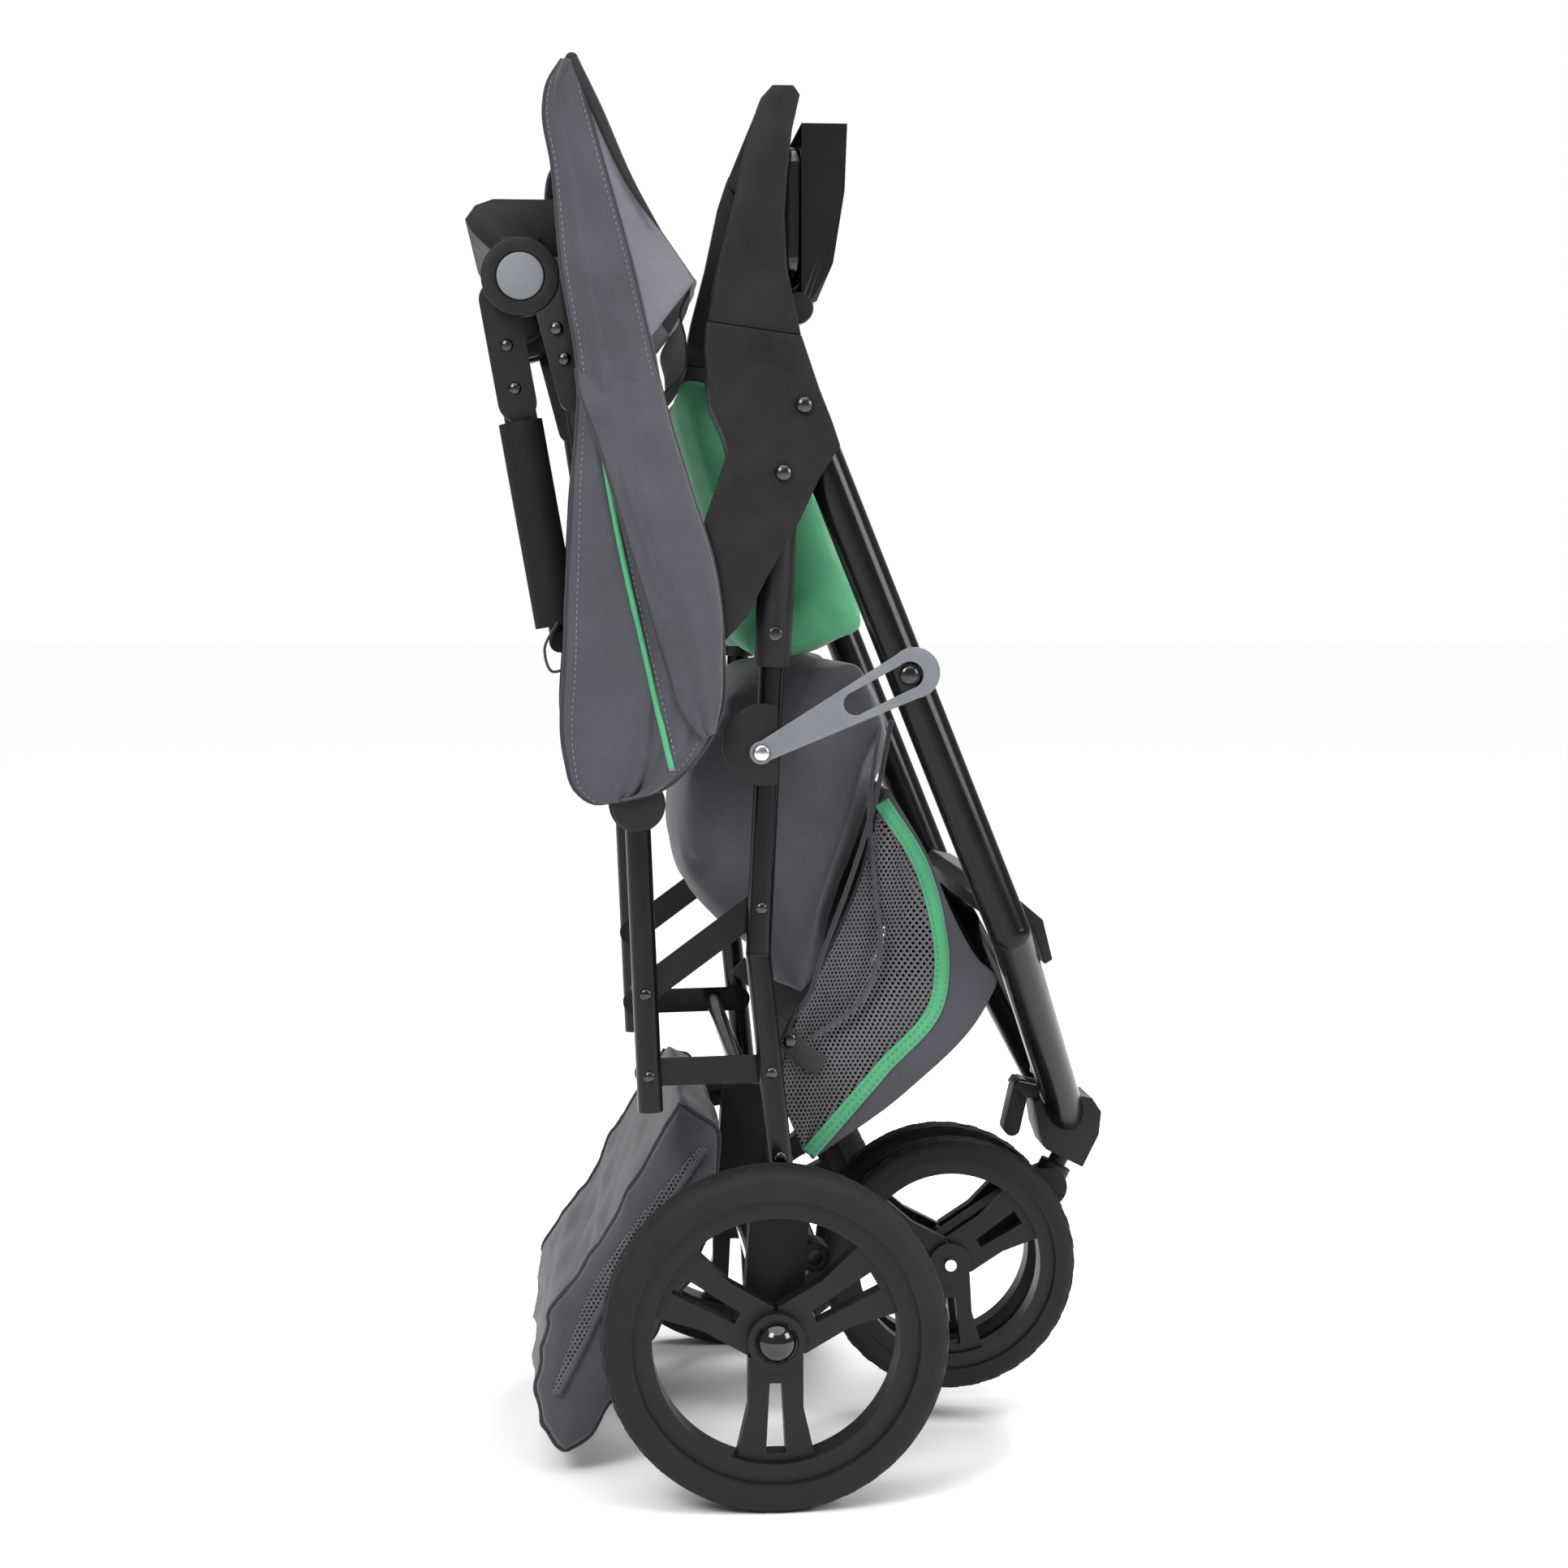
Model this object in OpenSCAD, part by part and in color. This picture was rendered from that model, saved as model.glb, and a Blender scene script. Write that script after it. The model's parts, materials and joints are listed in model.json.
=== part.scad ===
// Three-wheel jogging stroller, stored folded and standing on its rear wheels.
// +X is the stroller's front, +Z is up, -Y is its right-hand side. Millimetres.

/* [Wheels] */
// Diameter of the rear tyres
rear_wheel_d = 270; // [240:2:330]
// Width of the rear tyres
rear_wheel_w = 44; // [30:1:52]
// Distance between the middles of the rear tyres
rear_track = 500; // [490:2:600]
// Diameter of the front tyres
front_wheel_d = 216; // [170:2:240]
// Width of each front tyre
front_wheel_w = 30; // [22:1:38]
// Gap between the twin front tyres
front_gap = 34; // [30:1:50]
// Diameter of the rear axle
rear_axle_d = 12; // [10:0.5:15]
// Diameter of the front axle
front_axle_d = 10; // [8:0.5:12]

/* [Frame] */
// Distance between the middles of the side tubes
frame_w = 416; // [380:2:420]
// Height of the front tubes' fold pivot above the floor
shoulder_h = 857; // [720:5:1030]
// Diameter of the leg, seat and side tubes
tube_d = 20; // [18:0.5:24]
// Diameter of the front tubes
front_tube_d = 33; // [27:1:34]
// Diameter of the fold pivot pins
pin_d = 8; // [6:0.5:10]
// Diameter of the front fork's stem
stem_d = 16; // [12:1:20]
// Thickness of the flat brace plates
brace_t = 3.2; // [2:0.2:4]

/* [Handle] */
// Diameter of the handle grip
grip_d = 30; // [26:1:34]
// Thickness of each handle arm across the stroller
arm_w = 42; // [36:1:44]

/* [Trays] */
// Diameter of the cup wells
cup_d = 68; // [60:1:76]
// Depth of the cup wells
cup_depth = 30; // [20:1:32]
// Diameter of the tray arm hubs
hub_d = 60; // [54:1:66]
// Diameter of the release buttons
button_d = 36; // [28:1:40]
// Diameter of the foam on the grab bar
foam_d = 34; // [28:1:36]

/* [Hidden] */
$fn = 64;
run = 0.05;      // radial clearance of every turning pin
gap = 0.3;       // clearance between pieces that only meet
plate_t = 6;     // wall of each shoulder bracket

rear_r = rear_wheel_d / 2;
front_r = front_wheel_d / 2;
tube_r = tube_d / 2;
front_tube_r = front_tube_d / 2;
pin_r = pin_d / 2;
stem_r = stem_d / 2;
side_y = frame_w / 2;                             // middle plane of the side tubes
slot_half = front_tube_r + 0.7;                   // half of the bracket's inner gap
bracket_out = side_y + slot_half + plate_t;       // outer face of a bracket
bracket_in = side_y - slot_half - plate_t;        // inner face of a bracket
rear_y = rear_track / 2;
rear_in = rear_y - rear_wheel_w / 2;              // inner face of a rear tyre
front_y = (front_gap + front_wheel_w) / 2;        // middle plane of a front tyre

// Places in the side plane, as [x, z]; the rear axle sits behind the middle of the whole
axle_x = -31.5;
axle = [axle_x, rear_r];
shoulder = [axle_x + 24, shoulder_h];                      // pivot of the front tubes
elbow = shoulder + [-16, -52];                    // top pin of the rear legs
knee = shoulder + [-34, -427];                    // bend of the rear legs
foot_top = axle + [8, 122];
leg_end = knee + 1.25 * (foot_top - knee);             // end of the leg inside its foot
hip = shoulder + [-129, -308];                    // hub of side, seat and tray tubes
seat_end = hip + [10, -243];                      // lower end of the seat tubes
hub = hip + [-88, 405];                           // pivot of child tray and grab bar
wrist = hub + [41, -91];                          // bend of the tray posts
front_axle_p = [axle_x + 166, 32 + front_r];
bend = shoulder + [166, -413];                    // where the front tubes turn inwards
stem_dir = [-0.458, -0.889];                      // the fork's swivel axis, pointing down
head_p = front_axle_p + [113, 105];               // a point on the swivel axis in the head
latch_b = shoulder + [-33, -268];
latch_p = shoulder + [83, -208];
grip_p = shoulder + [-18, 229];
tray_pin = shoulder + [-2, 77];                    // hinge of the parent tray
brake_p = axle + [34, 55];

// Layers across the stroller, as distances from the middle plane
post_y = [side_y, side_y + 18];                   // tray posts and the hubs' outer halves
bar_y = [side_y - 18, side_y - gap];              // the grab bar's knuckles
ear_y = [side_y - 32, side_y - 18 - gap];         // the child tray's ears
bow_y = [side_y + 21, side_y + 25];               // the canopy bow's side straps
panel_y = [side_y + 30, side_y + 33];             // the canopy's side panels
latch_y = [side_y + front_tube_r + 1.2, side_y + front_tube_r + 4.7];

// ---- helpers -------------------------------------------------------------

// A flat outline in the side plane, from y0 to y1
module slab(points, y0, y1)
    translate([0, y1, 0]) rotate([90, 0, 0]) linear_extrude(y1 - y0) polygon(points);

// A cylinder along Y through side-plane point p
module across(p, r, y0, y1)
    translate([p[0], y1, p[1]]) rotate([90, 0, 0]) cylinder(r = r, h = y1 - y0);

// A round rod between two points in space
module rod(a, b, r) {
    d = b - a;
    flat = norm([d[0], d[1]]);
    translate(a) rotate([0, atan2(flat, d[2]), atan2(d[1], d[0])]) cylinder(r = r, h = norm(d));
}

// A round tube in the plane y, through a list of side-plane points
module tube_path(points, y, r) {
    for (i = [0 : len(points) - 2])
        rod([points[i][0], y, points[i][1]], [points[i + 1][0], y, points[i + 1][1]], r);
    if (len(points) > 2)
        for (i = [1 : len(points) - 2]) translate([points[i][0], y, points[i][1]]) sphere(r + 0.15);
}

// Flat outline of a bar of width w from a to b, with round ends
module bar_outline(a, b, w) {
    d = b - a;
    translate(a) circle(r = w / 2);
    translate(b) circle(r = w / 2);
    translate(a) rotate(atan2(d[1], d[0])) translate([0, 0.02 - w / 2]) square([norm(d), w - 0.04]);
}

// A flat bar of width w between side-plane points, with round ends
module flat_bar(a, b, w, y0, y1)
    translate([0, y1, 0]) rotate([90, 0, 0]) linear_extrude(y1 - y0) bar_outline(a, b, w);

// A flat strap through a list of side-plane points
module strap(points, w, y0, y1)
    translate([0, y1, 0]) rotate([90, 0, 0]) linear_extrude(y1 - y0)
        for (i = [0 : len(points) - 2]) bar_outline(points[i], points[i + 1], w);

// The same piece on the right (-Y) and left (+Y)
module both_sides() { children(); mirror([0, 1, 0]) children(); }

function moved(points, p) = [for (q = points) q + p];
function between(a, b, t) = a + (b - a) * t;
// Point at height z on the line through two side-plane points
function at_height(a, b, z) = between(a, b, (z - a[1]) / (b[1] - a[1]));

// ---- handle --------------------------------------------------------------

arm_outline = moved([[-74, 63.1], [-66, 104], [-53, 153], [-41, 209], [-33, 233], [-24, 243],
                     [-8, 243], [-3, 236], [-9, 210], [-13, 175], [-15, 145], [-13, 105],
                     [-2, 53.3]], shoulder);
arm_y = [side_y - arm_w / 2, side_y + arm_w / 2];

module handle_arms() color("#1c1c1e") both_sides() {
    slab(arm_outline, -arm_y[1], -arm_y[0]);
    across(tray_pin, 12, -arm_y[0] - 14, -arm_y[0]);
    across(tray_pin, pin_r, -arm_y[0] - 1, -tray_y + 12);
}

module handle_grip() color("#141415")
    across(grip_p, grip_d / 2, -arm_y[0] + gap, arm_y[0] - gap);

// ---- shoulder brackets ---------------------------------------------------

bracket_outline = moved([[-75, 63], [-76, 42], [-72, -1], [-61, -26], [-58, -38], [-66, -63],
                         [-77, -94], [-66, -138], [-61, -181], [-44, -163], [-28, -131],
                         [-3, -88], [12, -56], [28, -31], [22, -13], [12, 12], [-2, 53]], shoulder);
core_top = shoulder[1] + front_tube_r + 6;        // solid above the front tube's end
core_left = elbow[0] - tube_r - 14;               // solid behind the leg's socket

module shoulder_bracket() difference() {
    slab(bracket_outline, -bracket_out, -bracket_in);
    translate([core_left, -side_y - slot_half, core_top - 400])
        cube([200, 2 * slot_half, 400]);
    for (p = [shoulder, elbow]) across(p, pin_r + run, -bracket_out - 1, -bracket_in + 1);
    side_tube_shape(tube_r + gap);
}
module shoulder_bracket_right() color("#1b1b1d") shoulder_bracket();
module shoulder_bracket_left() color("#1b1b1d") mirror([0, 1, 0]) shoulder_bracket();

module shoulder_pins() color("#3a3a3c") both_sides()
    for (p = [shoulder, elbow]) {
        across(p, pin_r, -bracket_out, -bracket_in);
        across(p, pin_r + 2.5, -bracket_out - 2.5 - gap, -bracket_out - gap);
        across(p, pin_r - 1, -bracket_out - gap, -bracket_out);
    }

// ---- side frame ----------------------------------------------------------

tail = shoulder + [-66, -162];                    // where the side tube enters the bracket

module side_tube_shape(r)
    rod([tail[0], -side_y, tail[1]], [hip[0], -side_y, hip[1]], r);

module side_tubes() color("#161617") both_sides() difference() {
    side_tube_shape(tube_r);
    across(hip, tube_r + 12 + gap, -side_y - 30, -side_y + 30);
}

module hip_hubs() color("#1a1a1c") both_sides() {
    across(hip, tube_r + 12, -side_y - 14, -side_y + 12);
    across(hip, tube_r + 4, -bow_y[0] + gap, -side_y - 14);
    across(hip, 5, -bow_y[1] - gap, -bow_y[0] + gap);
    across(hip, 20, -panel_y[0] + gap, -bow_y[1] - gap);
}

module seat_tubes() color("#161617") both_sides() difference() {
    tube_path([hip, seat_end], -side_y, tube_r);
    across(hip, tube_r + 12 + gap, -side_y - 30, -side_y + 30);
}

leg_path = [elbow, knee, leg_end];

module rear_leg() difference() {
    tube_path(leg_path, -side_y, tube_r);
    across(elbow, pin_r + run, -side_y - 30, -side_y + 30);
}
module rear_leg_right() color("#151516") rear_leg();
module rear_leg_left() color("#151516") mirror([0, 1, 0]) rear_leg();

socket_low = at_height(elbow, knee, elbow[1] - 150);
socket_high = at_height(elbow, knee, elbow[1] - 14);

module leg_sockets() color("#1e1e20") both_sides() difference() {
    tube_path([socket_high, socket_low], -side_y, tube_r + 4.5);
    tube_path([elbow, knee], -side_y, tube_r + gap);
}

module axle_feet() color("#1a1a1b") both_sides() difference() {
    union() {
        across(axle, 24, -side_y - 14, -side_y + 14);
        flat_bar(axle, foot_top - [0, 8], 46, -side_y - 14, -side_y + 14);
        across(brake_p, rear_axle_d, -side_y - 14, -side_y + 14);
    }
    across(axle, rear_axle_d / 2 + run, -side_y - 20, -side_y + 20);
    across(brake_p, rear_axle_d / 2 + run, -side_y - 20, -side_y + 20);
    rod([knee[0], -side_y, knee[1]], [leg_end[0], -side_y, leg_end[1]], tube_r + gap);
    translate([foot_top[0] - 40, -side_y - 30, foot_top[1]]) cube([80, 60, 40]);
}

module rear_axle() color("#8a8a8d")
    across(axle, rear_axle_d / 2, -rear_y - rear_wheel_w / 2 + 6, rear_y + rear_wheel_w / 2 - 6);

brace_y = [side_y - tube_r - gap - brace_t, side_y - tube_r - gap];
brace_hi = [at_height(hip, seat_end, hip[1] - 149), at_height(elbow, knee, elbow[1] - 338)];
brace_lo = [at_height(hip, seat_end, hip[1] - 214), at_height(knee, foot_top, knee[1] - 93)];

module upper_braces() color("#1b1b1c") both_sides()
    flat_bar(brace_hi[0], brace_hi[1], 22, -brace_y[1], -brace_y[0]);

module lower_braces() color("#1b1b1c") both_sides()
    flat_bar(brace_lo[0], brace_lo[1], 22, -brace_y[1], -brace_y[0]);

module cross_tube() color("#161617")
    across(between(brace_lo[0], brace_lo[1], 0.75), 7, -brace_y[0] + gap, brace_y[0] - gap);

rivet_y = [side_y + tube_r + gap, side_y + tube_r + gap + 2];

module frame_rivets() color("#77777b") both_sides() {
    for (p = [brace_hi[0], brace_hi[1], brace_lo[0], brace_lo[1],
              at_height(knee, foot_top, foot_top[1] + 13)])
        across(p, 4.5, -rivet_y[1], -rivet_y[0]);
    across(socket_low + [1, 26], 5, -side_y - tube_r - 7, -side_y - tube_r - 4.5 - gap);
    for (t = [0.38, 0.66]) across(between(hub + [19, -8], wrist, t), 5, -post_y[1] - 2, -post_y[1] - gap);
}

// ---- storage latch -------------------------------------------------------

latch_pin_r = 3.5;

module latch_flange() color("#4a4a4e") difference() {
    union() {
        across(latch_b + [2, 6], 32, -latch_y[0] + gap, -side_y - tube_r - gap);
        across(latch_b, latch_pin_r, -latch_y[1] - gap, -latch_y[0] + gap);
        across(latch_b, 6.5, -latch_y[1] - gap - 2, -latch_y[1] - gap);
    }
    translate([latch_b[0] + 13, -latch_y[0] - 1, latch_b[1] - 60])
        cube([60, 40, 120]);
}

latch_u = (latch_p - latch_b) / norm(latch_p - latch_b);   // along the latch
latch_n = [-latch_u[1], latch_u[0]];                       // across the latch
latch_slot = latch_p - 48 * latch_u;                       // inner end of the slot

// Tapered plate between its pivot and the post, with a long slot
module fold_latch() color("#8f9296") difference() {
    union() {
        across(latch_b, 9, -latch_y[1], -latch_y[0]);
        across(latch_p + 4 * latch_u, 20, -latch_y[1], -latch_y[0]);
        slab([latch_b + 8 * latch_n, latch_p + 3 * latch_u + 19.5 * latch_n,
              latch_p + 3 * latch_u - 19.5 * latch_n, latch_b - 8 * latch_n],
             -latch_y[1], -latch_y[0]);
    }
    across(latch_b, latch_pin_r + run, -latch_y[1] - 1, 1 - latch_y[0]);
    across(latch_slot, 9.2, -latch_y[1] - 1, 1 - latch_y[0]);
    across(latch_p, 10.5, -latch_y[1] - 1, 1 - latch_y[0]);
    slab([latch_slot + 9 * latch_n, latch_p + 10.2 * latch_n, latch_p - 10.2 * latch_n,
          latch_slot - 9 * latch_n], -latch_y[1] - 1, 1 - latch_y[0]);
}

module latch_post() color("#2b2b2d")
    across(latch_p, 8.5, -latch_y[0] + gap, -side_y - front_tube_r + 1);

// ---- front frame ---------------------------------------------------------

head_half = 28;

module front_tube() difference() {
    union() {
        tube_path([shoulder, bend], -side_y, front_tube_r);
        translate([shoulder[0], -side_y, shoulder[1]]) sphere(front_tube_r + 0.15);
        translate([bend[0], -side_y, bend[1]]) sphere(front_tube_r + 0.15);
        rod([bend[0], -side_y, bend[1]], [head_p[0] - 6, -10, head_p[1] + 12], front_tube_r);
    }
    across(shoulder, pin_r + run, -side_y - 40, -side_y + 40);
    across(latch_p, 8.5 + gap, -side_y - 40, -side_y - front_tube_r + 1);
    translate([head_p[0] - 150, -head_half - gap, head_p[1] - 150]) cube([300, 200, 300]);
}
module front_tube_right() color("#111112") front_tube();
module front_tube_left() color("#111112") mirror([0, 1, 0]) front_tube();

stem_tilt = atan2(-stem_dir[0], -stem_dir[1]);    // lean of the swivel axis from upright

module on_stem() translate([head_p[0], 0, head_p[1]]) rotate([0, stem_tilt, 0]) children();

module front_head() color("#1b1b1c") difference() {
    union() {
        slab(moved([[-38, 32], [-20, 40], [12, 34], [20, 22], [18, 2], [4, -26], [-28, -10],
                    [-34, 6]], head_p), -head_half, head_half);
        across(lock_p, 2.5, -18, 18);
        for (s = [-1, 1]) translate([0, s * 18, 0])
            slab(moved([[-54, 42], [-50, 48], [-16, 40], [-16, 30], [-44, 34]], head_p), -3, 3);
    }
    on_stem() translate([0, 0, -60]) cylinder(r = stem_r + run, h = 84);
}

module front_fork() color("#19191a") {
    on_stem() translate([0, 0, -34]) cylinder(r = stem_r, h = 54);
    difference() {
        union() {
            on_stem() translate([0, 0, -58]) cylinder(r = stem_r + 6, h = 27);
            flat_bar(head_p + stem_dir * 52, front_axle_p, 34, -front_gap / 2 + 3, front_gap / 2 - 3);
        }
        across(front_axle_p, front_axle_d / 2 + run, -front_gap, front_gap);
    }
}

module front_axle() color("#8a8a8d")
    across(front_axle_p, front_axle_d / 2, -front_y - front_wheel_w / 2 - 2,
           front_y + front_wheel_w / 2 + 2);

module swivel_lock() color("#151516") difference() {
    flat_bar(lock_p + [-8, -36], lock_p, 14, -13, 13);
    across(lock_p, 2.5 + run, -20, 20);
}

lock_p = head_p + [-47, 42];                      // pin of the swivel lock's paddle
rest_p = between(shoulder, bend, 0.95);           // axis of the footrest bar

module footrest_bar() color("#161617")
    across(rest_p, 6, -side_y + front_tube_r + gap, side_y - front_tube_r - gap);

module footrest() color("#1d1d1f") difference() {
    slab(moved([[-12, 4], [-4, 12], [14, 8], [40, -14], [48, -46], [42, -50], [32, -20], [8, -8],
                [-8, -10]], rest_p), -side_y + front_tube_r + 16, side_y - front_tube_r - 16);
    across(rest_p, 6 + gap, -side_y, side_y);
}

// ---- wheels --------------------------------------------------------------

// Tyre about Y at the origin, with rounded shoulders and a shallow tread groove
module tyre(r, w, wall) rotate([90, 0, 0]) rotate_extrude($fn = 96) difference() {
    translate([r - wall, 0]) union() {
        translate([0, -w / 2 + wall / 2]) square([wall, w - wall]);
        translate([0, -w / 2]) square([wall / 2, w]);
        for (s = [-1, 1]) translate([wall / 2, s * (w - wall) / 2]) circle(r = wall / 2 - 0.01);
    }
    translate([r - 1.5, -1.5]) square([3, 3]);
    for (s = [-1, 1]) translate([r - 1.5, s * w / 5 - 1]) square([3, 2]);
}

// One double spoke: two bars that part from the hub to the rim, with a slot between
module spoke_outline(r_hub, r_rim) difference() {
    polygon([[r_hub * 0.6, -r_hub * 0.95], [r_rim * 0.55, -r_rim * 0.22], [r_rim + 2, -r_rim * 0.33],
             [r_rim + 2, r_rim * 0.33], [r_rim * 0.55, r_rim * 0.22], [r_hub * 0.6, r_hub * 0.95]]);
    polygon([[r_hub + 12, -r_rim * 0.05], [r_rim - 8, -r_rim * 0.08], [r_rim - 8, r_rim * 0.08],
             [r_hub + 12, r_rim * 0.05]]);
}

// Moulded rim with three double spokes, about Y at the origin; turn sets the first spoke
module rim(r, w, axle_d, turn) rotate([90, 0, 0]) difference() {
    union() {
        difference() {
            cylinder(r = r, h = w * 0.72, center = true, $fn = 96);
            cylinder(r = r * 0.86, h = w, center = true, $fn = 96);
        }
        for (i = [0 : 2]) rotate([0, 0, turn + 120 * i]) linear_extrude(w * 0.42, center = true)
            spoke_outline(r * 0.2, r * 0.87);
        cylinder(r = r * 0.2, h = w * 0.86, center = true);
    }
    cylinder(r = axle_d / 2 + run, h = w * 2, center = true);
}

rear_wall = rear_r * 0.17;
front_wall = front_r * 0.16;

module at_rear(side) translate([axle[0], side * rear_y, axle[1]]) children();
module at_front(side) translate([front_axle_p[0], side * front_y, front_axle_p[1]]) children();

module rear_tyre(side) color("#202022") at_rear(side) tyre(rear_r, rear_wheel_w, rear_wall);
module rear_rim(side) color("#161617") at_rear(side)
    rim(rear_r - rear_wall, rear_wheel_w, rear_axle_d, -90);
module front_tyre(side) color("#202022") at_front(side) tyre(front_r, front_wheel_w, front_wall);
module front_rim(side) color("#161617") at_front(side)
    rim(front_r - front_wall, front_wheel_w, front_axle_d, -87);
module hub_cap(side) color("#0c0c0d") at_rear(side)
    translate([0, side * (rear_wheel_w * 0.43 + gap), 0]) rotate([-90 * side, 0, 0])
    rotate_extrude() intersection() {
        translate([0, -6]) circle(r = 18);
        square([20, 20]);
    }

module rear_tyre_right() rear_tyre(-1);
module rear_rim_right() rear_rim(-1);
module hub_cap_right() hub_cap(-1);
module rear_tyre_left() rear_tyre(1);
module rear_rim_left() rear_rim(1);
module hub_cap_left() hub_cap(1);
module front_tyre_right() front_tyre(-1);
module front_rim_right() front_rim(-1);
module front_tyre_left() front_tyre(1);
module front_rim_left() front_rim(1);

module brake_bar() color("#151516") {
    across(brake_p, rear_axle_d / 2, -side_y - 12, side_y + 12);
    flat_bar(brake_p, brake_p + [-26, -34], 2 * rear_axle_d / 2 + 4, -34, 34);
}

// ---- canopy --------------------------------------------------------------

panel_outline = moved([[-52, 569], [-66, 548], [-70, 530], [-63, 488], [-56, 409], [-44, 331],
                       [-49, 244], [-54, 121], [-55, 30], [-46, 9], [-29, 4], [21, 18], [52, 46],
                       [66, 72], [67, 121], [59, 183], [40, 245], [22, 306], [10, 367], [-2, 410],
                       [-24, 489], [-45, 568]], hip);
roof_line = moved([[-45, 568], [-24, 516], [2, 470], [47, 404]], hip);
roof_under = moved([[44, 401], [-1, 467], [-27, 514], [-48, 565]], hip);

module canopy_cover() color("#5a5a63") {
    both_sides() slab(panel_outline, -panel_y[1], -panel_y[0]);
    slab(concat(roof_line, roof_under), -panel_y[1], panel_y[1]);
}

bow_path = moved([[0, 0], [-44, 34], [-49, 130], [-43, 250], [-38, 335], [-50, 412], [-58, 490],
                  [-62, 530], [-56, 556]], hip);

module canopy_bow() color("#151516") difference() {
    union() {
        both_sides() {
            strap(bow_path, 8, -bow_y[1], -bow_y[0]);
            across(hip, 11, -bow_y[1], -bow_y[0]);
        }
        across(bow_path[8], 3.6, -bow_y[1] + 0.5, bow_y[1] - 0.5);
    }
    both_sides() across(hip, 5 + run, -panel_y[1], -bow_y[0] + 1);
}

// ---- soft goods ----------------------------------------------------------

soft_half = bracket_in - gap;

module seat_back() color("#3f9f6c")
    slab(moved([[-108, 36], [-65, 27], [16, -66], [62, -184], [-42, -207], [-46, -150],
                [-78, -60]], shoulder), -soft_half, soft_half);

module seat_pad() color("#55555d")
    slab(moved([[-42, -207.3], [62, -184.3], [80, -240], [40, -370], [4, -486], [-20, -430],
                [-48, -420], [-88, -380], [-96, -330], [-96, -290], [-62, -216]], shoulder),
         -soft_half, soft_half);

// The mesh basket folded up under the seat, and its padded floor hanging behind the axle
module basket() color("#4b4b53")
    slab(moved([[61, -304], [104, -356], [116, -395], [126, -432], [159, -457], [156, -480],
                [62, -590], [3, -596], [-44, -611], [-58, -561], [-14, -527], [4.6, -487],
                [40.6, -370]], shoulder), 8 - soft_half, soft_half - 8);

module basket_floor() color("#3f3f46")
    slab(concat(moved([[-58.3, -561], [-44.3, -611]], shoulder),
                moved([[-60, 25], [-112, -75], [-140, -123], [-172, -130], [-190, -111],
                       [-194, -55], [-188, 5], [-120, 91], [-72, 172]], axle)),
         8 - soft_half, soft_half - 8);

// ---- trays and grab bar --------------------------------------------------

hub_pin_r = 6;

module tray_posts() color("#19191a") both_sides() difference() {
    union() {
        flat_bar(hub + [19, -8], wrist, 24, -post_y[1], -post_y[0]);
        rod([wrist[0], -post_y[0] - 9, wrist[1]], [hip[0], -side_y - 5, hip[1]], 8.5);
        translate([wrist[0], -post_y[0] - 9, wrist[1]]) sphere(8.5);
    }
    across(hub, hub_d / 2 + gap, -post_y[1] - 1, -post_y[0] + 1);
    across(hip, tube_r + 12 + gap, -side_y - 40, -side_y + 30);
    side_tube_shape(tube_r + gap);
}

module arm_hubs() color("#161617") both_sides() {
    difference() {
        across(hub, hub_d / 2, -post_y[1], -post_y[0]);
        across(hub, button_d / 2 + gap, -post_y[1] - 1, -post_y[1] + 7);
    }
    across(hub, hub_pin_r, -post_y[0], -ear_y[0] + gap);
    across(hub, hub_pin_r + 5, -ear_y[0] + gap, -ear_y[0] + gap + 3);
}

module release_button(side) color("#8d97a0") translate([0, side < 0 ? -post_y[1] : post_y[1] - 4, 0])
    across(hub, button_d / 2, side < 0 ? -2 : 0, side < 0 ? 4 : 6);
module release_button_right() release_button(-1);
module release_button_left() release_button(1);

sleeve_top = hub + [-17, -16];                    // axis of the bar's outer sleeves
sleeve_end = hub + [-2, -102];
foam_end = hub + [29, -279];
bar_mid = -(bar_y[0] + bar_y[1]) / 2;

module grab_bar() color("#171718") difference() {
    union() {
        both_sides() {
            across(hub, hub_d / 2 - 3, -bar_y[1], -bar_y[0]);
            flat_bar(sleeve_top, sleeve_end + [-1, 8], 30, -bar_y[1], -bar_y[0]);
            tube_path([sleeve_end + [-1, 8], foam_end], bar_mid, 7);
        }
        across(foam_end, 8.5, bar_mid - 8, 8 - bar_mid);
    }
    both_sides() across(hub, hub_pin_r + run, -side_y, -bar_y[0] + 1);
}

module grab_bar_foam() color("#222224") both_sides() difference() {
    tube_path([between(sleeve_end, foam_end, 0.04), between(sleeve_end, foam_end, 0.93)],
              bar_mid, foam_d / 2);
    tube_path([sleeve_end + [-1, 8], foam_end], bar_mid, 7 + gap);
}

dish_y = -bar_mid - foam_d / 2 - 1;            // half width of the dish
dish = [hub[0] - 43, hub[0] + 63, hub[1] + 20, hub[1] + 64];   // x0, x1, z0, z1

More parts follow.
